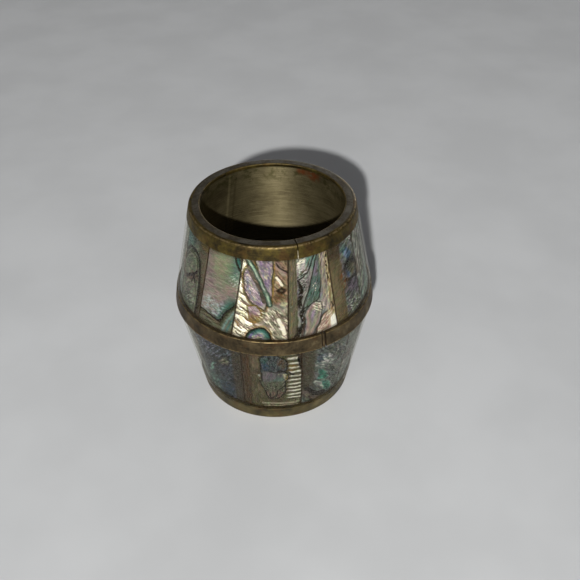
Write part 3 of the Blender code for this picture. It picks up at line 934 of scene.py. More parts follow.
def reef_panel(p):
    """Clear olive-brown on the left, then blue, violet and slate patches with dark seams, and painted
    silver glints.
    """
    p.clouds([(62, 62, 62), (86, 78, 84), MIST, SAGE, (66, 62, 54)], 4.5, 24)
    p.paint(UMBER, 80, p.streaks(12, 1.6, 5), p.up(85, 95))
    p.paint(MIST, 80, p.spot(68, 80, 10, 7), p.streaks(-30, 1.6, 4, 42, 56))
    p.paint(BLUE, 95, p.patch_fill([(47, 88), (66, 89), (88, 76), (68, 70)]))
    p.paint(TEAL, 60, p.spot(50, 88, 3, 2.4))
    p.paint((112, 130, 150), 80, p.spot(60, 82, 2.6, 1.8, -30))
    p.paint((34, 32, 34), 95, p.spot(76, 65.5, 10, 4.4, 4), p.streaks(6, 2, 6, 36, 50))
    p.paint(OLIVE, 70, p.spot(80, 56, 7, 4))
    p.paint(BLUE, 95, p.patch_fill([(53, 61), (70, 53), (62, 48), (52, 50)]))
    p.paint(MIST, 70, p.spot(60, 54, 3.6, 3.6), p.streaks(-30, 0.7, 2))
    p.paint((84, 74, 90), 85, p.spot(80, 36, 9, 6, 0))
    p.mark(INK, 100, 1.2, (44, 48), (60, 45.5), (78, 46.5), (98, 43))
    p.mark(INK, 75, 0.9, (50, 70), (66, 66), (90, 70), loose=True)
    # painted highlights: silver glints near the bottom and the top
    p.paint(SILVER, 80, p.streaks(-40, 0.8, 3, 54, 62), p.up(26, 16), p.across(30, 50))
    p.paint(SILVER, 80, p.streaks(-20, 0.7, 3, 56, 64), p.up(84, 92), p.across(30, 50))
    clear = p.across(42, 34)
    p.window((98, 85, 59), clear)
    p.paint((116, 104, 78), 70, clear, p.spot(12, 40, 5, 20))
    p.paint(MOSS, 50, clear, p.streaks(84, 1.6, 12))
    p.paint(UMBER, 70, clear, p.up(72, 90))
    p.paint((104, 64, 28), 90, p.spot(42, 53, 3.6, 9), p.streaks(70, 1, 4, 44, 56))
    p.paint(GOLD, 70, p.streaks(-45, 0.5, 2, 58, 66), p.up(25, 15))
    return p.polished(16, 0.7)


def mist_panel(p):
    """Pale blush and green clouds with long dark growth lines."""
    p.clouds([(92, 84, 80), BLUSH, (110, 118, 108), MIST, (100, 90, 92)], 6, 64)
    p.paint(TEAL, 60, p.spot(60, 20, 9, 8))
    p.paint((96, 74, 62), 70, p.spot(20, 50, 6, 9, 20))
    shore = p.patch([(-30, 10), (30, 22), (55, 50), (50, 85), (-30, 110)], 3, loose=True)
    bands = [SAGE, MOSS, PALE_SAGE, SLATE, BLUSH, INK, PALE_TEAL]
    p.agate(shore, -2.5, 2, bands, p.contour(shore, -0.2, 5))
    p.paint(INK, 70, p.contour(shore, 0.9, 0.5))
    p.paint(SILVER, 80, p.streaks(66, 1.2, 7, 52, 64))
    p.paint(PALE_TEAL, 70, p.streaks(58, 1.5, 5, 52, 62), p.up(45, 30))
    return p.polished(66, 0.75)


def slate_panel(p):
    """Blue-grey and violet streaks, teal towards the lower left with painted silver and pale teal
    glints, and brown along the right.
    """
    p.clouds([(34, 38, 40), (56, 64, 70), (76, 76, 88), (56, 68, 72), (38, 42, 42)], 5, 50)
    p.paint((80, 80, 104), 60, p.spot(20, 84, 8, 7, 40))
    p.paint((58, 60, 74), 70, p.spot(66, 56, 8, 6, 40))
    p.paint((42, 80, 72), 85, p.spot(24, 20, 10, 12, -30))
    p.paint((42, 62, 82), 85, p.spot(58, 18, 7, 9, -20))
    p.paint(PALE_TEAL, 90, p.streaks(48, 1.8, 5, 48, 58), p.up(40, 20), p.across(50, 30))
    # painted highlight: silver streaks towards the lower left
    p.paint(SILVER, 90, p.streaks(46, 1.4, 5, 50, 58), p.up(12, 2), p.across(45, 20))
    p.paint((128, 136, 150), 85, p.streaks(54, 1.3, 5, 52, 60), p.up(50, 70))
    # painted highlight: a pale teal glint
    p.mark((138, 176, 166), 95, 1.5, (22, 36), (32, 46), (37, 56), loose=True)
    knot = p.patch([(50, 66), (62, 76), (76, 80), (74, 66), (60, 60)], 1, loose=True)
    p.agate(knot, -1.4, 0.3, [OLIVE, PALE_SAGE, (112, 104, 96), SLATE], p.within(knot, 0.8))
    p.paint(INK, 85, p.contour(knot, 0.3, 0.7))
    p.paint((26, 26, 28), 95, p.spot(30, 62, 8, 5, 35), p.streaks(42, 2, 5, 40, 52))
    p.mark(INK, 90, 1, (36, 30), (44, 44), (46, 56), (56, 66), loose=True)
    p.paint(INK, 85, p.streaks(50, 2.2, 6, 52, 60), p.across(80, 70))
    p.window((64, 56, 45), p.across(78, 86))
    p.paint((88, 78, 62), 60, p.across(80, 88), p.streaks(84, 1.2, 12))
    return p.polished(50, 0.6, 0.3)


def island_panel(p):
    """An amber strip, a dark-lined blue and lavender island in tan, and raised ripples on the right
    with painted highlights.
    """
    p.clouds([(78, 70, 48), TAN, (96, 88, 64)], 7, 84)
    p.paint((124, 108, 88), 80, p.spot(23, 80, 2.6, 5))
    p.paint(UMBER, 60, p.spot(24, 68, 2.4, 2.4))
    p.paint(OLIVE, 70, p.up(32, 16))
    p.paint(AMBER, 60, p.up(92, 98), p.across(80, 60))
    beside = p.both(p.across(70, 78), p.up(11, 16))
    ripple_highlight = p.both(beside, p.ripples(2.3, -3, 0.006), p.across(68, 86))
    p.paint((88, 84, 60), 90, beside)
    p.paint(GOLD, 70, beside, p.spot(84, 74, 4.4, 5))
    # painted highlight: the ripples' crests are near white
    p.paint((250, 247, 228), 100, ripple_highlight)
    p.raise_by(1.2, ripple_highlight)
    for points, width in (([(34, 8.5), (95, 7)], 1.3), ([(36, 3.5), (95, 2.5)], 0.6)):
        hem = p.line(points, width)
        p.paint((166, 162, 136), 85, hem)
        p.raise_by(0.8, hem)
    p.paint(GOLD, 75, p.spot(85, 74, 3, 4), p.streaks(40, 0.8, 2))
    top = p.patch([(31, 93), (44, 98), (60, 96), (76, 86), (76, 70), (70, 64), (32, 65)], 0.8)
    waist = p.patch([(34, 68), (72, 68), (78, 56), (68, 45), (36, 45), (33, 56)], 0.8)
    foot = p.patch([(30, 50), (70, 52), (74, 30), (60, 18), (46, 17), (38, 30)], 0.8)
    field = p.math("MINIMUM", p.math("MINIMUM", top, waist), foot)
    land = p.within(field, 0.2)
    p.paint((78, 80, 66), 100, land)
    p.paint(SLATE, 95, land, p.within(top, 0.6))
    p.paint((48, 76, 96), 90, land, p.spot(37, 77, 3, 6))
    p.paint(TEAL, 70, land, p.spot(37, 88, 2.8, 2.4))
    p.paint(PALE_TEAL, 80, land, p.spot(50, 82, 2.4, 2.6), p.streaks(50, 0.8, 2))
    p.paint(INK, 70, p.within(top, 0.6), p.line([(42, 90), (52, 84), (62, 90)], 0.8, loose=True))
    p.paint((100, 78, 46), 80, land, p.spot(68, 82, 3.4, 6))
    p.paint(MIST, 60, p.within(top, 0.6), p.streaks(50, 1.1, 2.2, 50, 60))
    p.paint(INK, 60, p.within(top, 0.6), p.streaks(-35, 1.3, 2, 54, 62))
    lavender = p.both(p.within(waist, 0.4), p.fade(foot, -3, -0.5))
    p.paint((108, 106, 106), 95, p.within(waist, 0.4))
    p.paint((122, 113, 124), 80, p.within(waist, 0.4), p.spot(46, 60, 3.6, 3.4, 20, 80))
    p.paint((98, 122, 112), 80, p.within(waist, 0.4), p.spot(58, 53, 4.2, 3, 25, 80))
    p.mark(CREAM, 75, 0.6, (62, 63), (72, 61), (67, 55), (75, 50), loose=True)
    p.mark(SILVER, 75, 1, (27, 62), (32, 56), (30, 52), loose=True)
    p.paint(GOLD, 80, lavender, p.line([(75, 60), (73, 50)], 0.7))
    mottle = p.both(p.within(foot, 0.3), p.up(52, 47))
    p.paint((98, 100, 82), 90, mottle)
    p.paint((110, 84, 74), 90, mottle, p.up(38, 28))
    p.paint(PALE_SAGE, 80, mottle, p.streaks(20, 0.7, 1.6, 50, 58))
    p.paint(INK, 85, mottle, p.streaks(64, 0.8, 2.2, 54, 60))
    p.mark(INK, 80, 0.5, (40, 36), (46, 30), (47, 20))
    p.mark(INK, 90, 0.6, (70, 40), (60, 34), (56, 22), (46, 18))
    p.mark(INK, 90, 0.7, (30, 65.5), (50, 67), (66, 66), loose=True)
    p.mark(INK, 95, 1.3, (62, 69), (74, 67), (84, 61), loose=True)
    p.paint(INK, 90, p.contour(field, 0.05, 0.5))
    p.paint(OLIVE, 60, p.contour(field, 0.6, 0.5))
    strip = p.across(17, 13)
    p.window((72, 58, 40), strip)
    p.paint((86, 64, 42), 80, strip, p.streaks(90, 1, 30, 46, 60))
    p.paint(UMBER, 70, strip, p.streaks(90, 0.6, 30, 56, 64))
    p.mark((110, 88, 56), 50, 0.3, (10.5, -10), (11, 110))
    # painted shade: near black by the chipped corner, for the dark of the broken-off hole
    p.paint((14, 11, 8), 100, p.patch_fill([(90, 110), (94, 84), (97, 70), (120, 70), (120, 110)]))
    return p.polished(86, 0.25, 0.4)


def pool_panel(p):
    """Clear olive-brown on the left, pale blue and teal pools, and a dark brown arc near the foot."""
    p.clouds([(48, 52, 48), SAGE, (92, 96, 90), MIST, (66, 62, 56)], 6, -52)
    p.paint((112, 118, 118), 80, p.spot(46, 68, 7, 8))
    p.paint((66, 84, 104), 75, p.spot(38, 76, 4.4, 5))
    p.paint(SILVER, 90, p.spot(50, 66, 8, 8), p.streaks(-40, 1.5, 4, 48, 56))
    p.paint((58, 62, 64), 80, p.spot(50, 56, 8, 3, -20), p.streaks(-24, 1.4, 4, 42, 56))
    first = p.patch([(30, 58), (46, 55), (64, 38), (54, 30), (34, 38)], 0.8, loose=True)
    second = p.patch([(42, 34), (62, 29), (82, 12), (76, 4), (48, 12)], 0.8, loose=True)
    for pool in (first, second):
        p.agate(pool, -1.3, 0.2, [(50, 126, 106), (80, 140, 126), PALE_TEAL, SAGE], p.within(pool, 0.9))
        p.paint((56, 74, 70), 70, p.within(pool, 0.9), p.streaks(-30, 1.5, 3, 52, 62))
    p.mark(SILVER, 70, 1.3, (30, 36), (42, 28), (50, 16), loose=True)
    for points in (
        [(62, 98), (70, 82), (66, 68)],
        [(78, 90), (84, 70), (78, 52)],
        [(66, 50), (80, 38), (92, 34)],
    ):
        p.mark(INK, 75, 0.9, *points, loose=True)
        p.mark(PEARL, 50, 0.9, *((x + 5, y + 2) for x, y in points), loose=True)
    arc = [(2, 42), (10, 30), (20, 20), (34, 12), (56, 8)]
    p.mark((96, 82, 70), 70, 3, *((x - 8, y - 5) for x, y in arc))
    p.mark((30, 22, 16), 100, 2.2, *arc)
    p.mark(MIST, 50, 0.7, *((x + 7, y + 3) for x, y in arc[1:]))
    clear = p.both(p.across(30, 22), p.up(26, 40))
    p.window((76, 70, 54), clear)
    p.paint((98, 90, 70), 60, clear, p.streaks(88, 1.4, 15))
    p.paint(UMBER, 70, clear, p.across(8, 0))
    return p.polished(-50, 0.6, 0.32)


# Each row's panels in order, from the one left of the front: design, mirror and shift in millimetres.
UPPER_ROW = [
    (lobe_panel, 1, (0, 0)),
    (flame_panel, 1, (0, 0)),
    (leaf_panel, 1, (0, 0)),
    (reef_panel, 1, (0, 0)),
    (mist_panel, 1, (0, 0)),
    (eye_panel, -1, (0.8, 2.0)),
    (flame_panel, -1, (-0.6, 3.0)),
    (lobe_panel, -1, (0.5, -2.5)),
    (leaf_panel, -1, (0, 2.0)),
    (reef_panel, -1, (0, -3.0)),
    (eye_panel, 1, (-1.0, -3.0)),
    (mist_panel, -1, (0.6, 1.0)),
    (eye_panel, 1, (0, 0)),
]
LOWER_ROW = [
    (island_panel, 1, (0, 0)),
    (pool_panel, 1, (0, 0)),
    (mist_panel, 1, (0, 0)),
    (slate_panel, -1, (0.8, 3.0)),
    (pool_panel, -1, (0, -2.0)),
    (lobe_panel, 1, (-1.0, 1.5)),
    (island_panel, -1, (0, 2.0)),
    (reef_panel, -1, (0, -2.0)),
    (mist_panel, -1, (1.0, 2.0)),
    (slate_panel, 1, (0, 0)),
]


# ---------------------------------------------------------------- shell panels as meshes


def smooth_step(value, start, end):
    t = min(1.0, max(0.0, (value - start) / (end - start)))
    return t * t * (3 - 2 * t)


def spread(count):
    """count + 1 places from 0 to 1, closer together towards both ends."""
    places = [i / count for i in range(count + 1)]
    return [0.45 * t + 0.55 * t * t * (3 - 2 * t) for t in places]


PANEL_COLUMNS, PANEL_ROWS = 34, 60  # facets across and up each face
PANEL_REACH = 0.22 * MM  # how much nearer to the bands a panel comes than its plain CAD solid does
JOINT_REACH = 0.08 * MM  # the same at its two sides
EDGE_WEAR = 0.12 * MM  # how much lower the worn edge of a panel is than its face
WORN_WIDTH = 0.4 * MM
UNEVENNESS = 0.025 * MM  # half the depth of the hollows in a face
RAGGEDNESS = 0.07 * MM  # how far a sawn side wanders


def panel_mesh(name, node, seed, material, chips=()):
    """A sawn and ground slab: ragged edges, softened corners and a slightly uneven face.

    chips are (side, height share, half height share, depth in metres) bites out of its two sides.
    """
    slab = Slab(node)
    low, high = slab.low - PANEL_REACH, slab.high + PANEL_REACH
    slant = hypot(high - low, slab.outer(high) - slab.outer(low))
    bm = bmesh.new()
    unit_uv = bm.loops.layers.uv.new("unit")
    fronts, backs, flat = [], [], {}
    for up in spread(PANEL_ROWS):
        z = low + (high - low) * up
        outer, inner = slab.outer(z), slab.inner(z)
        left, right = slab.sides(z)
        bite = {"left": 0.0, "right": 0.0}
        for side, centre, half, depth in chips:
            near = max(0.0, 1 - ((up - centre) / half) ** 2)
            bite[side] += depth * near * (1 + 0.5 * noise.noise((seed, up * 40, depth / MM)))
        waver = [RAGGEDNESS * noise.noise((seed * 3.1 + side, z / (2.2 * MM), 0.5)) for side in (0, 9)]
        start = left + (bite["left"] + waver[0] - JOINT_REACH) / outer
        end = right - (bite["right"] + waver[1] - JOINT_REACH) / outer
        front, back = [], []
        for across in spread(PANEL_COLUMNS):
            azimuth = start + (end - start) * across
            edge = min(min(across, 1 - across) * (end - start) * outer, min(up, 1 - up) * slant)
            uneven = 1 + noise.noise((azimuth * outer / (3 * MM), z / (3 * MM), seed))
            drop = EDGE_WEAR * smooth_step(edge, WORN_WIDTH, 0) + UNEVENNESS * uneven
            face_radius = outer - drop
            front.append(bm.verts.new((face_radius * sin(azimuth), -face_radius * cos(azimuth), z)))
            back.append(bm.verts.new((inner * sin(azimuth), -inner * cos(azimuth), z)))
            flat[front[-1]] = flat[back[-1]] = ((azimuth - left) / (right - left), up)
        fronts.append(front)
        backs.append(back)
    rim = [(0, i) for i in range(PANEL_COLUMNS)]
    rim += [(j, PANEL_COLUMNS) for j in range(PANEL_ROWS)]
    rim += [(PANEL_ROWS, i) for i in range(PANEL_COLUMNS, 0, -1)]
    rim += [(j, 0) for j in range(PANEL_ROWS, 0, -1)]
    for j in range(PANEL_ROWS):
        for i in range(PANEL_COLUMNS):
            for grid in (fronts, backs):
                bm.faces.new((grid[j][i], grid[j][i + 1], grid[j + 1][i + 1], grid[j + 1][i]))
    for (j, i), (q, p) in zip(rim, rim[1:] + rim[:1]):
        bm.faces.new((fronts[j][i], fronts[q][p], backs[q][p], backs[j][i]))
    for face in bm.faces:
        for loop in face.loops:
            loop[unit_uv].uv = flat[loop.vert]
    return finish_mesh(name, bm, material, 35)


ROW_SHADES = {"upper": 0.95, "lower": 0.66}  # painted shade: a panel's colour is multiplied by its row's factor; the lower row, which faces down, is darkest


def make_panels(row, plan, chips):
    for k, (design, mirror, nudge) in enumerate(plan, start=1):
        node = f"{row}_shell_panel_{k:02d}"
        seed = k + 50 * (row == "lower")
        size = Slab(node).size()
        painter = Shell(f"{row}_shell_{k:02d}", *size, seed, mirror, nudge, ROW_SHADES[row])
        panel = panel_mesh(f"{row}_panel_{k:02d}", node, seed * 7.7, design(painter), chips.get(k, ()))
        attach(panel, "shell", node)


UPPER_CHIPS = {3: [("left", 0.2, 0.05, 0.3 * MM)], 4: [("right", 0.9, 0.07, 0.5 * MM)]}
LOWER_CHIPS = {1: [("right", 0.92, 0.11, 1.5 * MM), ("right", 0.76, 0.08, 0.6 * MM)]}
make_panels("upper", UPPER_ROW, UPPER_CHIPS)
make_panels("lower", LOWER_ROW, LOWER_CHIPS)


# ---------------------------------------------------------------- bands

OLD_BRASS = (srgb(34, 29, 16), srgb(62, 52, 26), srgb(90, 77, 34), srgb(120, 106, 58))
RUDDY_BRASS = (srgb(38, 32, 22), srgb(67, 57, 40), srgb(92, 79, 56), srgb(124, 111, 82))
OLIVE_BRASS = (srgb(41, 37, 23), srgb(74, 66, 41), srgb(103, 92, 58), srgb(136, 123, 84))


def joint_azimuth(node):
    """The middle of the gap between the ends of a split CAD band, which is narrower than its facets."""
    turns = sorted(azimuth_of(p) for p in vertices(node))
    gaps = [(b - a, (a + b) / 2) for a, b in zip(turns, turns[1:] + [turns[0] + TURN])]
    facet = max(gaps)[0]
    return next(middle for width, middle in gaps if 0.05 * facet < width < 0.5 * facet)


def strip_band(name, node, outline, material, gap, shape, steps=360):
    """A band bent from strip, with the gap between its ends where the CAD band has it."""
    middle = joint_azimuth(node)
    half = gap / 2 / GIRTH_RADIUS
    band = turned(name, outline, material, middle + half, middle + TURN - half, steps, shape)
    attach(band, "brass_bands", node)
    return middle


SLIVER_STEPS = 12  # facets up a filling


def sliver(name, azimuth, foot, head, depth, material, slot):
    """A narrow filling in a joint. foot and head, its ends, are (radius of its face, height, width)."""
    bm = bmesh.new()
    rows = []
    for k in range(SLIVER_STEPS + 1):
        t = k / SLIVER_STEPS
        radius, height, width = (a * (1 - t) + b * t for a, b in zip(foot, head))
        row = []
        for side in (-1, -0.6, 0, 0.6, 1):
            ragged = 0.1 * MM * noise.noise((side, k * 0.7, width / MM))
            a = azimuth + (side * width / 2 + ragged) / radius
            r = radius - 0.12 * MM * side * side + 0.03 * MM * noise.noise((side * 2, k * 0.9, 4))
            row.append((r, a))
        row += [(r - depth, a) for r, a in reversed(row)]
        rows.append([bm.verts.new((r * sin(a), -r * cos(a), height)) for r, a in row])
    for here, after in zip(rows, rows[1:]):
        for i in range(len(here)):
            j = (i + 1) % len(here)
            bm.faces.new((here[i], here[j], after[j], after[i]))
    bm.faces.new(rows[0])
    bm.faces.new(rows[-1])
    attach(finish_mesh(name, bm, material), slot)


RIM_JOINT, WAIST_JOINT, FOOT_JOINT = 0.5 * MM, 1.8 * MM, 0.3 * MM  # gaps between the strips' ends
EDGE_ZONE = 0.3 * MM  # how near to its edge a strip wanders
DENT = 0.03 * MM  # half the unevenness of filed and rolled brass
WAIST_PROUD = 0.25 * MM  # how far the waist band's upper edge stands out of the resin
SHARP_EDGE, MOUTH_EDGE, RIM_EDGE = 0.12 * MM, 0.45 * MM, 1.1 * MM  # how far edges are rounded
rim_bore = min(hypot(p.x, p.y) for p in vertices("rim_band"))
rim_seat = rim_wall.inner(RIM_BOTTOM)
flange_low = min(p.z for p in vertices("rim_band") if hypot(p.x, p.y) < rim_bore + 0.4 * MM)
rim_outline = section(
    [
        (rim_seat, RIM_BOTTOM, 0),
        (rim_wall.outer(RIM_BOTTOM), RIM_BOTTOM, SHARP_EDGE),
        (upper_skin.outer(HEIGHT), HEIGHT, RIM_EDGE),
        (rim_bore, HEIGHT, MOUTH_EDGE),
        (rim_bore + 0.25 * MM, flange_low, 0),
        (rim_seat, flange_low, 0),
    ]
)


def worn_rim(azimuth, r, z, along):
    """Hand-filed: the face is a little uneven, and the lower edge wanders."""
    if abs(z - RIM_BOTTOM) < EDGE_ZONE and r > rim_seat + 0.5 * MM:
        z += 0.1 * MM * (1 + wobble(azimuth, 0, 3 * MM, 1))
    return r - DENT * (1 + wobble(azimuth, z, 6 * MM, 2)), z


top_start = along_to(rim_outline, upper_skin.outer(HEIGHT) - RIM_EDGE, HEIGHT)
top_end = along_to(rim_outline, rim_bore + MOUTH_EDGE, HEIGHT)
outer_edge = along_to(rim_outline, upper_skin.outer(HEIGHT), HEIGHT)
# bright edges of the rim: partly wear, partly painted highlight
rim_edges = [(outer_edge, 0.45, 1.0), (top_end + 0.3, 0.3, 0.35)]
rim_brass = band_brass("rim_brass", OLD_BRASS, rim_edges, 1, (top_start, top_end))
rim_joint = strip_band("rim_band_ring", "rim_band", rim_outline, rim_brass, RIM_JOINT, worn_rim)

waist_top = GIRTH_RADIUS + upper_skin.slope() * (WAIST_TOP - WAIST_BOTTOM) + WAIST_PROUD
waist_outline = section(
    [
        (waist_wall.inner(WAIST_BOTTOM), WAIST_BOTTOM, 0),
        (GIRTH_RADIUS, WAIST_BOTTOM, 0.35 * MM),
        (waist_top, WAIST_TOP, 0.3 * MM),
        (waist_wall.inner(WAIST_TOP), WAIST_TOP, 0),
    ]
)


def worn_waist(azimuth, r, z, along):
    """The same, and the upper edge wanders."""
    dent = 0.04 * MM * (1 + wobble(azimuth, z, 7 * MM, 3))
    if abs(z - WAIST_TOP) < EDGE_ZONE:
        z -= 0.05 * MM * (1 + wobble(azimuth, 0, 4 * MM, 4))
    return r - dent, z


low_edge = along_to(waist_outline, GIRTH_RADIUS - 0.1 * MM, WAIST_BOTTOM + 0.1 * MM)
high_edge = along_to(waist_outline, waist_top, WAIST_TOP)
waist_edges = [(low_edge, 0.5, 1.0), (high_edge, 0.3, 1.0)]
waist_brass = band_brass("waist_brass", RUDDY_BRASS, waist_edges, 2)
waist_joint = strip_band(
    "waist_band_ring", "waist_band", waist_outline, waist_brass, WAIST_JOINT, worn_waist
)
sliver(
    "waist_joint_sliver",
    waist_joint,
    (GIRTH_RADIUS - 0.12 * MM, WAIST_BOTTOM + 0.1 * MM, 0.8 * MM),
    (waist_top - 0.12 * MM, WAIST_TOP - 0.1 * MM, 0.7 * MM),
    0.9 * MM,
    waist_brass,
    "brass_bands",
)

foot_outline = section(
    [
        (plate_radius + GAP, 0.0, 0.2 * MM),
        (lower_skin.outer(0.0), 0.0, 0.45 * MM),
        (foot_wall.outer(FOOT_TOP), FOOT_TOP, SHARP_EDGE),
        (foot_wall.inner(FOOT_TOP), FOOT_TOP, 0),
        (plate_radius + GAP, plate_high + GAP, 0),
    ]
)


def worn_foot(azimuth, r, z, along):
    """The same, but the face that the cup stands on is flat."""
    if z > FOOT_TOP - EDGE_ZONE:
        z -= 0.06 * MM * (1 + wobble(azimuth, 0, 3 * MM, 5))
    if z < 0.05 * MM:
        return r, z
    return r - DENT * (1 + wobble(azimuth, z, 6 * MM, 6)), z


foot_edge = along_to(foot_outline, lower_skin.outer(0.0), 0.0)
foot_brass = band_brass("foot_brass", OLIVE_BRASS, [(foot_edge, 0.4, 1.0)], 3)
strip_band("foot_band_ring", "foot_band", foot_outline, foot_brass, FOOT_JOINT, worn_foot)


# ---------------------------------------------------------------- liner and base


def layer_section(wall, reach=0.0, edge=0.0, longest=1.5 * MM):
    """The four-sided section of a layer, carried on by reach past its CAD ends."""
    low, high = wall.low - reach, wall.high + reach
    corners = [
        (wall.inner(low), low, 0),
        (wall.outer(low), low, edge),
        (wall.outer(high), high, edge),
        (wall.inner(high), high, 0),
    ]
    return section(corners, longest, 3)


def seam_of(node):
    """Azimuth of the lap seam: the middle of the vertices that stand nearest to the axis."""
    points = vertices(node)
    low = min(p.z for p in points)
    foot = [p for p in points if p.z < low + NEAR]
    nearest = min(hypot(p.x, p.y) for p in foot)
    lap = [p for p in foot if hypot(p.x, p.y) < nearest + 0.02 * MM]
    return azimuth_of(sum(lap, Vector()) / len(lap))


LAP_HALF_WIDTH = 1.3 * MM
LAP_HEIGHT = 0.25 * MM
LAP_SLOPE = 0.1 * MM  # half the width of the step at each side of the lap
PLATE_HOLE = 0.2 * MM  # radius of the hole that turning leaves


def make_liner(name, node, wall, seed):
    """Rolled sheet with one lapped strip inside, and very slightly out of round."""
    seam = seam_of(node)
    inner_foot = max(r for r in wall.foot if r < wall.outer(wall.low) - 0.5 * MM)
    inner_head = max(r for r in wall.head if r < wall.outer(wall.high) - 0.5 * MM)

    def lapped(azimuth, r, z, along):
        t = (z - wall.low) / (wall.high - wall.low)
        inner = inner_foot * (1 - t) + inner_head * t
        if r > inner + 0.3 * MM:
            return r, z
        off = abs((azimuth - seam + pi) % TURN - pi) * inner
        step = LAP_HEIGHT * smooth_step(off, LAP_HALF_WIDTH + LAP_SLOPE, LAP_HALF_WIDTH - LAP_SLOPE)
        return inner - step + DENT * wobble(azimuth, z, 9 * MM, seed), z

    start = seam + 0.1
    brass = liner_brass(name + "_brass", seed)
    outline = layer_section(wall, longest=1.2 * MM)
    liner = turned(name, outline, brass, start, start + TURN, 420, lapped)
    attach(liner, "brass_liner", node)


make_liner("upper_liner_sheet", "upper_liner", upper_liner, 1)
make_liner("lower_liner_sheet", "lower_liner", lower_liner, 2)


def make_plate():
    """A disc turned from its outline, whose small middle hole is then closed."""
    corners = [
        (PLATE_HOLE, plate_low, 0),
        (plate_radius, plate_low, 0.35 * MM),
        (plate_radius, plate_high, 0.1 * MM),
        (PLATE_HOLE, plate_high, 0),
    ]
    plate = turned("base_disc", section(corners, 1.5 * MM), plate_brass(), steps=144)
    bm = bmesh.new()
    bm.from_mesh(plate.data)
    core = [f for f in bm.faces if all(hypot(v.co.x, v.co.y) < 1.5 * PLATE_HOLE for v in f.verts)]
    bmesh.ops.delete(bm, geom=core, context="FACES")
    rims = [e for e in bm.edges if e.is_boundary]
    bmesh.ops.holes_fill(bm, edges=rims)
    bmesh.ops.recalc_face_normals(bm, faces=bm.faces)
    bm.to_mesh(plate.data)
    bm.free()
    attach(plate, "brass_base", "base_plate")


make_plate()


# ---------------------------------------------------------------- resin and the fillings of joints

FILLER_SINK = 0.8 * MM  # how far below the waist band's face its filling lies
dark_resin = bedding_resin()
glassy_resin = clear_resin()
sliver(
    "waist_joint_filler",
    waist_joint,
    (GIRTH_RADIUS - FILLER_SINK, WAIST_BOTTOM + 0.15 * MM, 2.0 * MM),
    (waist_top - FILLER_SINK, WAIST_TOP - 0.15 * MM, 2.0 * MM),
    0.6 * MM,
    dark_resin,
    "bedding_resin",
)

rim_filler_top = RIM_BOTTOM + 2.4 * MM
rim_low = rim_wall.outer(RIM_BOTTOM) - 0.15 * MM
rim_high = rim_wall.outer(rim_filler_top) - 0.15 * MM
sliver(
    "rim_joint_filler",
    rim_joint,
    (rim_low, RIM_BOTTOM + 0.1 * MM, 0.5 * MM),
    (rim_high, rim_filler_top, 0.4 * MM),
    0.8 * MM,
    joint_resin(),
    "bedding_resin",
)

for row, bed, skin in (("upper", upper_bed, upper_skin), ("lower", lower_bed, lower_skin)):
    bedding = turned(f"{row}_bedding", layer_section(bed, 0.2 * MM), dark_resin, steps=180)
    attach(bedding, "bedding_resin", f"{row}_bedding_resin")
    cover = turned(f"{row}_clear_cover", layer_section(skin, 0.22 * MM, SHARP_EDGE), glassy_resin)
    attach(cover, "clear_resin", f"{row}_clear_resin")


# ---------------------------------------------------------------- stage

FLOOR_HALF_WIDTH = 1.5
KEY_PLACE = (-0.036, -0.385, 0.28)
FILL_AZIMUTH, FILL_ELEVATION, FILL_WIDTH = 162.0, 5.0, 40.0  # degrees
KEY_STRENGTH, FILL_STRENGTH = 4.2, 0.8
WORLD_COLOUR = (0.12, 0.12, 0.125, 1.0)

# The photo's viewing angle.
CAMERA_PLACE = (0.0, -0.2141, 0.2075)
CAMERA_TURN, CAMERA_DIP, CAMERA_ROLL = radians(1.513), radians(38.46), radians(-0.378)
CAMERA_LENS, CAMERA_SENSOR = 46.43, 36.0  # millimetres


def make_floor():
    g = Graph("floor")
    place = g.position()
    tone = g.fade(g.noise(place, 0.02, 3), 0.3, 0.7)
    colour = g.mix(tone, srgb(186, 187, 187), srgb(193, 194, 194))
    bm = bmesh.new()
    bmesh.ops.create_grid(bm, x_segments=8, y_segments=8, size=FLOOR_HALF_WIDTH)
    floor = finish_mesh("floor", bm, g.finish(Base_Color=colour, Roughness=0.9))
    floor.location = (0, 0, -0.02 * MM)


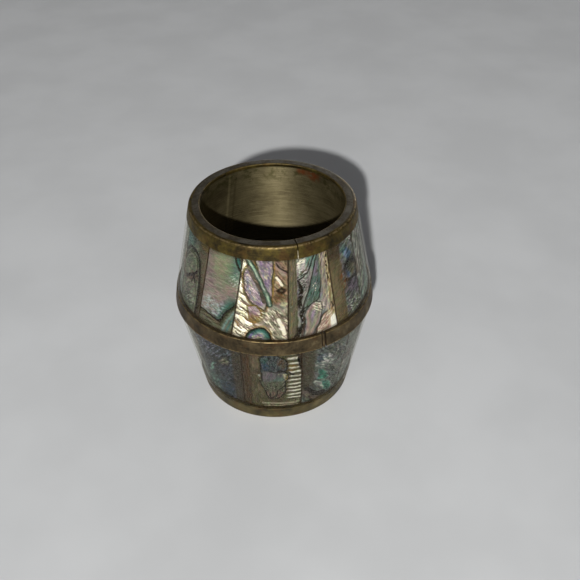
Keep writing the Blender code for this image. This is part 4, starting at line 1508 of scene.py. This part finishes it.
def make_sun(name, azimuth, elevation, width, strength):
    """A distant soft light from a direction. Its width is in degrees too."""
    light = bpy.data.lights.new(name, "SUN")
    light.angle = radians(width)
    light.energy = strength
    lamp = bpy.data.objects.new(name, light)
    turn, rise = radians(azimuth), radians(elevation)
    towards = Vector((sin(turn) * cos(rise), -cos(turn) * cos(rise), sin(rise)))
    lamp.rotation_euler = (-towards).to_track_quat("-Z", "Y").to_euler()
    lamp.location = towards
    bpy.context.scene.collection.objects.link(lamp)


def make_lamp(name, place, radius, strength):
    """A soft round lamp near the cup, whose light is as strong at any distance."""
    light = bpy.data.lights.new(name, "POINT")
    light.shadow_soft_size = radius
    light.energy = 4 * pi * strength
    light.use_nodes = True
    nodes = light.node_tree.nodes
    even = nodes.new("ShaderNodeLightFalloff")
    even.inputs["Strength"].default_value = 1.0
    light.node_tree.links.new(even.outputs["Constant"], nodes["Emission"].inputs["Strength"])
    lamp = bpy.data.objects.new(name, light)
    lamp.location = place
    bpy.context.scene.collection.objects.link(lamp)


def make_camera():
    data = bpy.data.cameras.new("camera")
    data.sensor_width = CAMERA_SENSOR
    data.lens = CAMERA_LENS
    data.clip_start = 0.01
    camera = bpy.data.objects.new("camera", data)
    camera.matrix_world = (
        Matrix.Translation(CAMERA_PLACE)
        @ Matrix.Rotation(-CAMERA_TURN, 4, "Z")
        @ Matrix.Rotation(pi / 2 - CAMERA_DIP, 4, "X")
        @ Matrix.Rotation(CAMERA_ROLL, 4, "Z")
    )
    bpy.context.scene.collection.objects.link(camera)
    bpy.context.scene.camera = camera


def make_world():
    world = bpy.data.worlds.new("world")
    world.use_nodes = True
    world.node_tree.nodes["Background"].inputs["Color"].default_value = WORLD_COLOUR
    bpy.context.scene.world = world


make_floor()
make_lamp("key", KEY_PLACE, 5 * MM, KEY_STRENGTH)
make_sun("fill", FILL_AZIMUTH, FILL_ELEVATION, FILL_WIDTH, FILL_STRENGTH)
make_world()
make_camera()
bpy.context.scene.view_settings.view_transform = "Standard"
